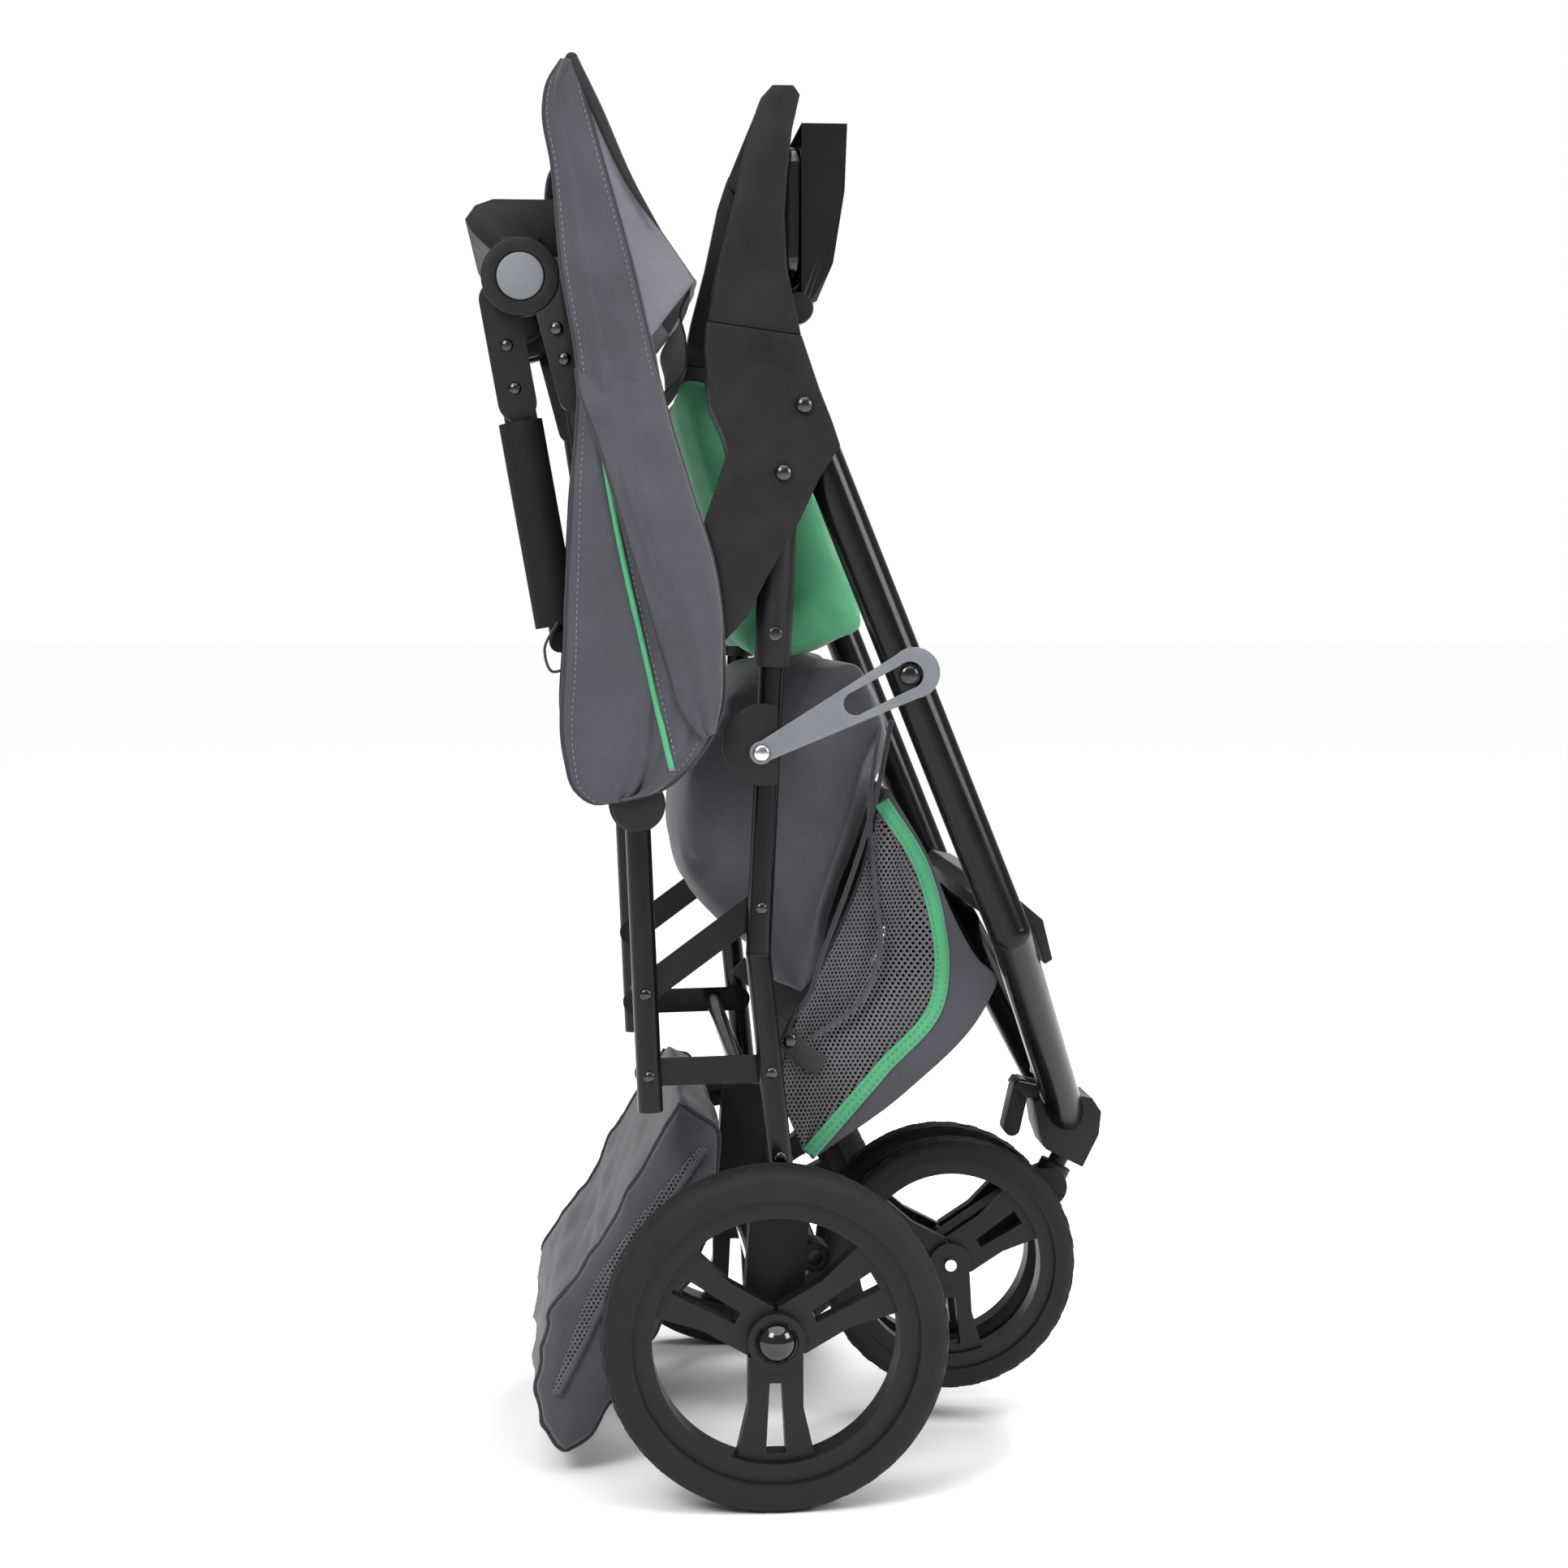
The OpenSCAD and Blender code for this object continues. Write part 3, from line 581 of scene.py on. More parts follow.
class Wardrobe:
    """Every material, made once, and the way a piece is given one."""

    def __init__(self) -> None:
        """Builds all the finishes."""
        effects = Effects()
        self.materials = {f.name: f.make(effects) for f in FINISHES}

    def dress(self, obj: bpy.types.Object, finish: str) -> None:
        """Gives an object one finish all over.

        Args:
            obj: the piece.
            finish: name of the finish.
        """
        obj.data.materials.clear()
        obj.data.materials.append(self.materials[finish])

    def dress_node(self, obj: bpy.types.Object, finish: str) -> None:
        """Gives a CAD node a finish through its material slots.

        Args:
            obj: the node's object.
            finish: name of the finish.
        """
        if not obj.material_slots:
            obj.data.materials.append(self.materials[finish])
        for slot in obj.material_slots:
            slot.material = self.materials[finish]


@dataclass
class Maker:
    """What every sub-assembly needs: the frame and the finishes."""

    frame: dict
    wardrobe: Wardrobe
    made: list[bpy.types.Object] = field(default_factory=list)

    def keep(self, obj: bpy.types.Object, body: str, finish: str, slot: str) -> bpy.types.Object:
        """Dresses a finished piece and lets it ride on its body.

        Args:
            obj: the piece.
            body: the CAD body.
            finish: name of the finish.
            slot: the record's material slot; not used.

        Returns:
            The same piece.
        """
        self.wardrobe.dress(obj, finish)
        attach(obj, body)
        self.made.append(obj)
        LOG.info("%s rides on %s in %s", obj.name, body, finish)
        return obj

    def fan(self, obj: bpy.types.Object, finish: str, slot: str) -> bpy.types.Object:
        """Dresses canopy cloth and keeps it where it stands, on no body.

        Args:
            obj: the piece.
            finish: name of the finish.
            slot: the record's material slot; not used.

        Returns:
            The same piece.
        """
        self.wardrobe.dress(obj, finish)
        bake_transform(obj)
        self.made.append(obj)
        LOG.info("%s fans between %s and %s in %s", obj.name, SEAT, BOW, finish)
        return obj


def apply_modifiers(obj: bpy.types.Object) -> None:
    """Replaces an object's mesh by what its modifiers make of it, and drops them.

    Args:
        obj: the object, changed in place.
    """
    graph = bpy.context.evaluated_depsgraph_get()
    mesh = bpy.data.meshes.new_from_object(obj.evaluated_get(graph))
    obj.modifiers.clear()
    obj.data = mesh


def solidify(obj: bpy.types.Object, thickness: float, offset: float = 0.0) -> None:
    """Gives a sheet its thickness, with closed edges.

    Args:
        obj: the sheet, changed in place.
        thickness: in metres.
        offset: 0 for both ways, 1 for outwards, -1 for inwards.
    """
    modifier = obj.modifiers.new("thickness", "SOLIDIFY")
    modifier.thickness = thickness
    modifier.offset = offset
    apply_modifiers(obj)


def merged_copy(node: bpy.types.Object, name: str) -> bpy.types.Object:
    """A copy of a CAD node with its loose triangles merged into one skin.

    Args:
        node: the CAD node.
        name: the copy's name.

    Returns:
        The copy.
    """
    obj = bpy.data.objects.new(name, node.data.copy())
    bpy.context.scene.collection.objects.link(obj)
    work = bmesh.new()
    work.from_mesh(obj.data)
    bmesh.ops.remove_doubles(work, verts=work.verts, dist=MERGE_WITHIN)
    work.to_mesh(obj.data)
    work.free()
    return obj


def softened(node: bpy.types.Object, name: str, radius: float) -> bpy.types.Object:
    """A moulded part with rounded edges: its CAD skin, flat faces joined, every corner bevelled.

    Args:
        node: the CAD node.
        name: the new piece's name.
        radius: width of the rounding in metres.

    Returns:
        The new object.
    """
    obj = merged_copy(node, name)
    work = bmesh.new()
    work.from_mesh(obj.data)
    bmesh.ops.dissolve_limit(work, angle_limit=math.radians(0.6), verts=work.verts,
                             edges=work.edges)
    work.to_mesh(obj.data)
    work.free()
    bevel = obj.modifiers.new("edges", "BEVEL")
    bevel.width = radius
    bevel.segments = 3
    bevel.limit_method = "ANGLE"
    bevel.angle_limit = math.radians(32)
    apply_modifiers(obj)
    obj.data.polygons.foreach_set("use_smooth", [True] * len(obj.data.polygons))
    obj.data.set_sharp_from_angle(angle=math.radians(38))
    return obj


def swollen(obj: bpy.types.Object, cap: float, inset: float, voxel: float = 0.006) -> None:
    """Fills a pad: shrinks it a little, remeshes it and lets cloth under pressure swell it.

    Args:
        obj: a closed mesh, changed in place.
        cap: the furthest a point may move, in metres.
        inset: how much smaller it starts on each side.
        voxel: size of the remesh.
    """
    mesh = obj.data
    v = vertices_of(obj)
    middle, size = (v.max(0) + v.min(0)) / 2, v.max(0) - v.min(0)
    set_vertices(mesh, middle + (v - middle) * (1 - 2 * inset / size))
    remesh = obj.modifiers.new("remesh", "REMESH")
    remesh.mode = "VOXEL"
    remesh.voxel_size = voxel
    apply_modifiers(obj)
    before = vertices_of(obj)
    cloth = obj.modifiers.new("cloth", "CLOTH")
    cloth.settings.use_pressure = True
    cloth.settings.uniform_pressure_force = 4.0
    cloth.settings.quality = 5
    cloth.settings.effector_weights.gravity = 0.0
    cloth.point_cache.frame_start, cloth.point_cache.frame_end = 1, 20
    for frame_number in range(1, 21):
        bpy.context.scene.frame_set(frame_number)
    apply_modifiers(obj)
    bpy.context.scene.frame_set(1)
    moved = vertices_of(obj) - before
    length = np.linalg.norm(moved, axis=1)[:, None]
    set_vertices(obj.data, before + moved * np.minimum(1.0, cap / np.maximum(length, 1e-9)))
    smooth = obj.modifiers.new("ease", "SMOOTH")
    smooth.factor, smooth.iterations = 0.5, 6
    finer = obj.modifiers.new("finer", "SUBSURF")
    finer.levels = finer.render_levels = 1
    apply_modifiers(obj)
    obj.data.polygons.foreach_set("use_smooth", [True] * len(obj.data.polygons))


def vertices_of(obj: bpy.types.Object) -> Array:
    """An object's vertex places as an (n, 3) array."""
    flat = np.empty(len(obj.data.vertices) * 3)
    obj.data.vertices.foreach_get("co", flat)
    return flat.reshape(-1, 3)


def normals_of(obj: bpy.types.Object) -> Array:
    """An object's vertex normals as an (n, 3) array."""
    flat = np.empty(len(obj.data.vertices) * 3)
    obj.data.vertex_normals.foreach_get("vector", flat)
    return flat.reshape(-1, 3)


def set_vertices(mesh: bpy.types.Mesh, places: Array) -> None:
    """Writes vertex places back to a mesh."""
    mesh.vertices.foreach_set("co", places.ravel())
    mesh.update()


def rumpled(obj: bpy.types.Object,
            waves: Sequence[tuple[float, float, float, float, float]]) -> None:
    """Adds soft wrinkles: each wave moves points along their normals by a sine of a direction.

    Args:
        obj: the piece.
        waves: (x, y, z cycles per metre, phase, height in millimetres) of each wave.
    """
    v, n = vertices_of(obj), normals_of(obj)
    lift = sum(h * MM * np.sin(2 * math.pi * (v @ np.array([a, b, c])) + p)
               for a, b, c, p, h in waves)
    set_vertices(obj.data, v + n * lift[:, None])


def sheet_between(left: Array, right: Array, across: int, bulge: Array) -> Array:
    """Grid of a cloth panel: straight across from a left to a right edge, plus an offset in Y.

    Args:
        left: (n, 3) one edge.
        right: (n, 3) the other edge.
        across: columns between them.
        bulge: (n, across) offset along Y.

    Returns:
        An (n, across, 3) grid.
    """
    u = np.linspace(0, 1, across)[None, :, None]
    grid = left[:, None, :] * (1 - u) + right[:, None, :] * u
    grid[:, :, 1] += bulge
    return grid


def on_grid(grid: Array, path: Array, lift: float) -> Array:
    """Moves a path onto a panel: each place takes the Y of the panel's nearest grid point.

    Args:
        grid: (n, m, 3) places of the panel.
        path: (k, 3) places near it.
        lift: distance off the panel along Y, in metres.

    Returns:
        A (k, 3) array, smoothed along its length.
    """
    flat = grid.reshape(-1, 3)
    gap = (path[:, None, 0] - flat[None, :, 0]) ** 2 + (path[:, None, 2] - flat[None, :, 2]) ** 2
    result = path.copy()
    result[:, 1] = flat[gap.argmin(axis=1), 1] + lift
    kernel = np.array([1, 2, 3, 2, 1]) / 9
    padded = np.pad(result[:, 1], 2, mode="edge")
    result[:, 1] = np.convolve(padded, kernel, mode="valid")
    return result


def panel(name: str, grid: Array, thickness: float) -> bpy.types.Object:
    """A grid made a cloth piece with thickness and closed edges.

    Args:
        name: the piece's name.
        grid: (n, m, 3) places.
        thickness: in metres.

    Returns:
        The new object.
    """
    rows, cols = grid.shape[:2]
    obj = build(name, grid.reshape(-1, 3), grid_faces(rows, cols).tolist())
    solidify(obj, thickness)
    return obj


# ---- canopy --------------------------------------------------------------


@dataclass
class Canopy(Maker):
    """The folded canopy: two side panels, their gussets, the crowned roof, piping and hems."""

    plane: float = 237.0
    crown: float = 15.0
    rows: int = 120
    left_edge: tuple = ((-122, 553), (-140, 552), (-153, 562), (-160, 585), (-160, 670),
                        (-154, 793), (-149, 880), (-161, 958), (-168, 1037), (-174, 1079),
                        (-171, 1097), (-160, 1115))
    right_edge: tuple = ((-118, 553), (-84, 563), (-56, 590), (-40, 622), (-39, 670), (-46, 732),
                         (-65, 794), (-83, 855), (-97, 912), (-108, 959), (-130, 1038),
                         (-152, 1115))
    roof_edge: tuple = ((-153, 1116), (-137, 1084), (-110, 1026), (-60, 951))
    roof_seam: tuple = ((-151, 1112), (-130, 1038), (-108, 959), (-95, 906))
    piping: tuple = ((-136, 860), (-128, 803), (-117, 744), (-102, 676), (-89, 620), (-79, 577))
    band_left: tuple = ((-152, 905), (-149, 868), (-136, 831), (-117, 768), (-98, 706), (-84, 660),
                        (-70, 618), (-56, 600))
    band_right: tuple = ((-94, 918), (-83, 855), (-65, 794), (-46, 732), (-40, 690), (-40, 660),
                         (-41, 628), (-46, 606))
    rear_drop: tuple = ((-63, 946), (-70, 930), (-66, 908), (-68, 884), (-84, 866))

    def side_grid(self, side: Side) -> Array:
        """The side panel: bulges as sin(pi u), with a groove at the piping and long folds.

        Args:
            side: which side of the stroller.

        Returns:
            A (rows, 46, 3) grid.
        """
        left, right = along(at(self.left_edge), self.rows), along(at(self.right_edge), self.rows)
        u, v = np.meshgrid(np.linspace(0, 1, 46), np.linspace(0, 1, self.rows))
        seam = 0.20 + 0.52 * np.clip((0.56 - v) / 0.52, 0, 1)
        low = 1 / (1 + np.exp((v - 0.56) * 40))
        bulge = 8.0 * np.sin(math.pi * u) ** 0.6 * np.sin(math.pi * np.clip(v, 0.02, 0.98)) ** 0.3
        bulge -= 5.0 * low * np.exp(-((u - seam) / 0.035) ** 2)
        bulge += 5.5 * low * np.exp(-((u - seam - 0.16) / 0.07) ** 2)
        bulge += 2.4 * low * np.sin(30 * u + 9 * v) * np.exp(-((u - 0.72) / 0.22) ** 2)
        bulge += 1.5 * np.sin(26 * v + 5 * u) * np.sin(math.pi * u)
        bulge += 3.4 * (1 - low) * np.exp(-((u - 0.30) / 0.06) ** 2)
        sign = side.value
        return sheet_between(left, right, 46, sign * (self.plane + np.maximum(bulge, -0.5)) * MM)

    def make_side(self, side: Side) -> None:
        """Side panel, gusset, green piping, hems and stitching of one side.

        Args:
            side: which side of the stroller.
        """
        word, sign = side.word, side.value
        grid = self.side_grid(side)
        cloth = panel(f"canopy_side_{word}", grid, CLOTH)
        self.fan(cloth, "charcoal_cloth", "grey_fabric")
        out = np.array([0.0, sign, 0.0])
        line = on_grid(grid, along(at(self.piping), 90), sign * 1.8 * MM)
        self.fan(tube(f"canopy_piping_{word}", line, 2.3 * MM), "green_binding", "green_fabric")
        left, right = grid[:, 0], grid[:, -1]
        rim = np.concatenate([left[::-1], right])
        rim = along(rim[np.r_[True, np.linalg.norm(np.diff(rim, axis=0), axis=1) > 1e-4]], 260)
        self.fan(tube(f"canopy_hem_{word}", rim, 1.9 * MM), "binding_cloth", "grey_fabric")
        rows = [grid[4:-4, 3], grid[4:-4, -4]]
        seams = [stitch_arrays(row + out * 1.1 * MM, out) for row in rows]
        beside = on_grid(grid, along(at(self.piping) + np.array([5 * MM, 0, 0]), 90),
                         sign * 1.2 * MM)
        seams.append(stitch_arrays(beside, out))
        self.fan(joined(f"canopy_stitching_{word}", seams, False), "grey_thread", "grey_fabric")
        self.make_band(side)
        seam, edge = along(at(self.roof_seam), 50), along(at(self.roof_edge), 50)
        u, v = np.meshgrid(np.linspace(0, 1, 24), np.linspace(0, 1, 50))
        lift = self.plane - 1.0 - 9.0 * v * np.sin(math.pi * u * 0.5) + 4 * np.sin(math.pi * u) * v
        gusset_grid = sheet_between(seam, edge, 24, sign * lift * MM)
        gusset = panel(f"canopy_gusset_{word}", gusset_grid, THIN_CLOTH)
        self.fan(gusset, "silver_cloth", "grey_fabric")

    def make_band(self, side: Side) -> None:
        """The upper fold of the side cloth, which hangs over the lower one to a soft edge.

        Args:
            side: which side of the stroller.
        """
        sign = side.value
        left, right = along(at(self.band_left), 90), along(at(self.band_right), 90)
        u, v = np.meshgrid(np.linspace(0, 1, 34), np.linspace(0, 1, 90))
        free = np.clip(v / 0.22, 0, 1) ** 2 * (3 - 2 * np.clip(v / 0.22, 0, 1))
        bulge = 10.2 * free - 2.0 + 3.6 * free * (1 - u) ** 0.7 + 3.2 * free * np.sin(math.pi * u)
        bulge += 1.6 * free * np.sin(13 * u - 7 * v) * u * (1 - u) * 4 * v
        bulge -= 7.0 * free * np.clip((u - 0.86) / 0.14, 0, 1) ** 2
        grid = sheet_between(left, right, 34, sign * (self.plane + bulge) * MM)
        band = panel(f"canopy_fold_{side.word}", grid, CLOTH)
        self.fan(band, "charcoal_cloth", "grey_fabric")
        hem = tube(f"canopy_fold_hem_{side.word}", grid[6:, 0], 1.5 * MM)
        self.fan(hem, "binding_cloth", "grey_fabric")

    def make_rear(self) -> None:
        """The dark cloth that drops from the roof's rear edge behind the seat back."""
        edge = along(at(self.rear_drop), 40)
        t = np.linspace(-1, 1, 50)
        grid = np.repeat(edge[:, None, :], 50, axis=1)
        grid[:, :, 1] = t[None, :] * (self.plane - 30.0) * MM
        grid[:, :, 0] += (1 - t[None, :] ** 2) * 5 * MM
        rear = panel("canopy_rear_panel", grid, LINING)
        self.fan(rear, "black_lining", "grey_fabric")

    def make_roof(self) -> None:
        """The roof: its side edge swept across, crowned outwards as 1 - (y / half)^2."""
        edge = along(at(self.roof_edge), 60)
        half = (self.plane - 2.0) * MM
        t, s = np.meshgrid(np.linspace(-1, 1, 90), np.linspace(0, 1, 60))
        grid = np.repeat(edge[:, None, :], 90, axis=1)
        grid[:, :, 1] = t * (half - 8 * MM * s)
        lift = (self.crown * (1 - 0.45 * s) * (1 - np.abs(t) ** 2.4)
                + 1.6 * np.sin(9 * t + 4 * s) * (1 - t**2)) * MM
        grid[:, :, 0] += lift * 0.6
        grid[:, :, 2] += lift * (0.35 + 0.3 * s)
        roof = panel("canopy_roof", grid, ROOF_CLOTH)
        self.fan(roof, "black_lining", "grey_fabric")
        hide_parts("canopy_cover")
        for side in Side:
            line = along(at(self.roof_edge, side.value * (self.plane - 2.0)), 60)[:46]
            thin = 4.4 * MM * (1 - np.linspace(0, 1, 46) ** 3)[:, None, None] + 0.4 * MM
            points, faces = tube_arrays(line, thin)
            self.fan(build(f"canopy_roof_trim_{side.word}", points, faces), "black_lining",
                     "grey_fabric")
        for row, name, radius, finish in ((0, "front", 5.0, "black_lining"),
                                          (-1, "rear", 1.6, "silver_cloth")):
            binding = tube(f"canopy_roof_binding_{name}", along(grid[row], 120), radius * MM)
            self.fan(binding, finish, "grey_fabric")

    def make(self) -> None:
        """Builds the whole canopy."""
        for side in Side:
            self.make_side(side)
        self.make_roof()
        self.make_rear()


# ---- seat and basket -----------------------------------------------------


@dataclass
class Seat(Maker):
    """The folded seat: a green back pad over a grey seat pad, each swollen cloth."""

    half: float = 181.0

    def pad(self, node: str, name: str, finish: str, slot: str, cap: float,
            waves: Sequence[tuple[float, float, float, float, float]], fill: float) -> None:
        """One pad in the place of its CAD solid.

        Args:
            node: the CAD soft solid that it stands for.
            name: the piece's name.
            finish: name of the finish.
            slot: the record's material slot.
            cap: how far it may swell, in metres.
            waves: its wrinkles, as rumpled() takes them.
            fill: how full it is; not used.
        """
        obj = merged_copy(self.frame["nodes"][node], name)
        swollen(obj, cap, cap * 0.9)
        rumpled(obj, waves)
        self.keep(obj, SEAT, finish, slot)
        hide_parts(node)

    def make(self) -> None:
        """Both pads, and the seat pad's bound side seams with their zip pulls."""
        self.pad("seat_back", "seat_back_pad", "green_cloth", "green_fabric", 0.009,
                 ((3.1, 2.2, 4.0, 0.4, 1.0), (1.0, 6.0, 7.5, 2.0, 0.7)), 0.6)
        self.pad("seat_pad", "seat_bottom_pad", "charcoal_cloth", "grey_fabric", 0.011,
                 ((7.0, 1.6, 3.5, 1.1, 1.8), (11.0, 2.5, -5.0, 0.3, 1.3),
                  (4.0, 5.0, 9.0, 2.2, 0.8)), 0.45)
        seam = ((98, 612), (88, 560), (68, 492), (45, 430), (28, 385), (16, 372))
        for side in Side:
            y = side.value * self.half
            line = along(at(seam, y), 90)
            self.keep(tube(f"seat_seam_{side.word}", line, 3.4 * MM, 0.6), SEAT, "binding_cloth",
                      "grey_fabric")
            pull = tube(f"seat_zip_pull_{side.word}", along(at(((22, 384), (17, 371), (12, 360)), y
                        + side.value * 2), 12), 4.2 * MM, 0.45)
            self.keep(pull, SEAT, "textured_black_plastic", "black_plastic")


@dataclass
class Basket(Maker):
    """The folded basket: netting sides, green trim, a cloth front, and its hanging floor."""

    half: float = 168.0
    inner: tuple = ((91, 546), (76, 486), (52, 428), (22, 366), (12, 318), (30, 262))
    trim: tuple = ((92, 546), (124, 494), (137, 450), (141, 416), (137, 384), (92, 330), (33, 262))
    front: tuple = ((97, 556), (128, 504), (149, 455), (170, 418), (185, 402), (178, 384),
                    (112, 312), (36, 258))
    mouth: tuple = ((90, 606), (82, 539), (87, 475), (90, 423), (74, 385), (35, 356))
    floor_fold: tuple = ((-50, 267), (-97, 198), (-127, 152), (-152, 101), (-168, 70))
    floor: tuple = ((-66, 310), (-112, 236), (-146, 178), (-180, 130), (-190, 84), (-186, 34),
                    (-170, 14), (-150, 17), (-137, 36), (-112, 76), (-70, 138), (-44, 190),
                    (-34, 240), (-40, 292))

    def make_side(self, side: Side) -> None:
        """Netting, gusset, trim, stitching and snap tab of one side.

        Args:
            side: which side of the stroller.
        """
        word, sign = side.word, side.value
        u, v = np.meshgrid(np.linspace(0, 1, 40), np.linspace(0, 1, 70))
        soft = 7 * np.sin(math.pi * u) * np.sin(math.pi * v) + 2 * np.sin(11 * v + 6 * u) * np.sin(
            math.pi * u)
        grid = sheet_between(along(at(self.inner), 70), along(at(self.trim), 70), 40,
                             sign * (self.half - soft) * MM)
        net = panel(f"basket_net_{word}", grid, NETTING)
        self.keep(net, SEAT, "hexagon_netting", "mesh_fabric")
        trim = along(at(self.trim, sign * (self.half + 1.0)), 140)
        band = tube(f"basket_trim_{word}", trim, 6.2 * MM, 0.22)
        set_vertices(band.data, ribbon_in_plane(trim, 6.2 * MM, 1.3 * MM))
        self.keep(band, SEAT, "green_binding", "green_fabric")
        mouth = along(at(self.mouth, sign * (self.half + 1.5)), 90)
        self.keep(tube(f"basket_mouth_hem_{word}", mouth, 3.2 * MM, 0.6), SEAT, "charcoal_cloth",
                  "grey_fabric")
        out = np.array([0.0, sign, 0.0])
        rows = [stitch_arrays(trim + out * 1.6 * MM + shift, out) for shift in
                (np.array([4 * MM, 0, 0]), np.array([-4 * MM, 0, 0]))]
        self.keep(joined(f"basket_stitching_{word}", rows, False), SEAT, "grey_thread",
                  "grey_fabric")
        gusset_grid = sheet_between(along(at(self.trim), 70), along(at(self.front), 70), 20,
                                    np.full((70, 20), sign * (self.half - 1) * MM))
        gusset = panel(f"basket_gusset_{word}", gusset_grid, LINING)
        self.keep(gusset, SEAT, "charcoal_cloth", "grey_fabric")
        tab = along(at(((-2, 372), (14, 358), (30, 342), (44, 333)), sign * (self.half + 3)), 40)
        web = tube(f"basket_snap_tab_{word}", tab, 9 * MM, 0.16)
        set_vertices(web.data, ribbon_in_plane(tab, 9 * MM, 1.2 * MM))
        self.keep(web, SEAT, "webbing", "grey_fabric")
        centre = at(((17, 355),), sign * (self.half + 4))[0]
        self.keep(joined(f"basket_snap_{word}", [dome_arrays(centre, out, 6.5 * MM, 2.4 * MM)]),
                  SEAT, "blackened_steel", "steel")

    def make_back(self) -> None:
        """A near-black cloth sheet behind the netting, folded forward inside the basket: painted
        shade for the dark inside of the basket.
        """
        edge = along(at(self.inner), 80)
        t = np.linspace(-1, 1, 60)
        s = np.linspace(0, 1, 80)[:, None]
        grid = np.repeat(edge[:, None, :], 60, axis=1)
        grid[:, :, 1] = t[None, :] * (self.half - 12) * MM
        fold = (1 - np.abs(t[None, :]) ** 3) * np.sin(math.pi * np.clip(s, 0.04, 0.96)) ** 0.6
        grid[:, :, 0] += (58 * fold + 3 * np.sin(17 * s + 6 * t[None, :]) * fold) * MM
        # painted shade: the darkest cloth stands in for the shade inside the basket
        back = panel("basket_back", grid, LINING)
        self.keep(back, SEAT, "binding_cloth", "grey_fabric")

    def make_front(self) -> None:
        """The cloth front and bottom: the front outline swept across, sagging in the middle."""
        edge = along(at(self.front), 110)
        t = np.linspace(-1, 1, 60)
        grid = np.repeat(edge[:, None, :], 60, axis=1)
        grid[:, :, 1] = t[None, :] * (self.half - 1) * MM
        s = np.linspace(0, 1, 110)[:, None]
        sag = (6 * (1 - t[None, :] ** 2) * np.sin(math.pi * s)
               + 1.4 * np.sin(14 * s + 5 * t[None, :]) * (1 - t[None, :] ** 2)) * MM
        grid[:, :, 0] -= sag
        front = panel("basket_front", grid, CLOTH)
        self.keep(front, SEAT, "charcoal_cloth", "grey_fabric")
        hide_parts("basket")

    def make_floor(self) -> None:
        """The padded floor, hanging: a closed outline swept across, drawn in at both ends."""
        loop = along(at(self.floor + (self.floor[0],)), 97)[:-1]
        rows = 64
        t = np.linspace(-1, 1, rows)
        grow = 0.80 + 0.20 * (1 - np.abs(t) ** 7) ** (1 / 3)
        grow[[0, -1]] = 0.76
        centre = loop.mean(axis=0)
        grid = centre + (loop[None] - centre) * grow[:, None, None]
        grid[:, :, 1] = (t * (self.half - 2) * MM)[:, None]
        a = np.linspace(0, 2 * math.pi, 96, endpoint=False)[None]
        low = np.clip((0.20 - grid[:, :, 2]) / 0.14, 0, 1)
        ripple = (2.2 * (1 - 2 * np.abs(np.sin(5.5 * a + 1.2 * t[:, None])) ** 0.7)
                  + 2.2 * low * (1 - 2 * np.abs(np.sin(11 * a - 4 * t[:, None])) ** 0.7)
                  + 1.4 * np.sin(4 * a - 9 * t[:, None])
                  + 0.8 * np.sin(17 * a + 12 * t[:, None])) * MM
        outward = (grid - centre) / np.linalg.norm(loop - centre, axis=1)[None, :, None]
        outward[:, :, 1] = 0
        grid += outward * (ripple - 3 * MM)[:, :, None]
        faces = grid_faces(rows, 96, wrap_cols=True).tolist()
        faces += [list(range(96)), [(rows - 1) * 96 + k for k in range(96)]]
        bag = build("basket_floor_pad", grid.reshape(-1, 3), faces)
        self.keep(bag, SEAT, "charcoal_cloth", "grey_fabric")
        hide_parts("basket_floor")
        for side in Side:
            row = 3 if side is Side.RIGHT else rows - 4
            hem = along(np.concatenate([grid[row], grid[row][:1]]), 200)
            hem[:, 1] += side.value * 1.0 * MM
            self.keep(tube(f"basket_floor_hem_{side.word}", hem[:-1], 2.4 * MM), SEAT,
                      "binding_cloth", "grey_fabric")
            y = side.value * (self.half - 0.5)
            fold = along(at(self.floor_fold, y), 80)
            self.keep(tube(f"basket_floor_fold_{side.word}", fold, 3.4 * MM, 0.7), SEAT,
                      "charcoal_cloth", "grey_fabric")
            wide = 0.25 + 0.75 * np.sin(math.pi * np.linspace(0.05, 0.95, 80))[:, None]
            beyond = fold + wide * np.array([-15 * MM, 0, 4 * MM])
            strip_grid = sheet_between(beyond, fold, 10, np.full((80, 10), side.value * 0.7 * MM))
            strip = panel(f"basket_floor_net_{side.word}", strip_grid, NETTING)
            self.keep(strip, SEAT, "hexagon_netting", "mesh_fabric")

    def make(self) -> None:
        """Builds the whole basket."""
        self.make_front()
        self.make_back()
        for side in Side:
            self.make_side(side)
        self.make_floor()


def ribbon_in_plane(path: Array, half: float, thick: float) -> Array:
    """Vertices of a 16-sided tube flattened to a ribbon that lies in the side plane.

    Args:
        path: (n, 3) centre line in one XZ plane.
        half: half width in metres.
        thick: half thickness along Y in metres.

    Returns:
        (n * 16, 3) places, in the order that tube_arrays() uses.
    """
    tangent = np.gradient(path, axis=0)
    tangent /= np.linalg.norm(tangent, axis=1)[:, None]
    out = np.array([0.0, 1.0, 0.0])
    side = np.cross(tangent, out)
    a = np.linspace(0, 2 * math.pi, 16, endpoint=False)
    return (path[:, None] + np.cos(a)[None, :, None] * out * thick
            + np.sin(a)[None, :, None] * side[:, None] * half).reshape(-1, 3)


# ---- hard parts ----------------------------------------------------------


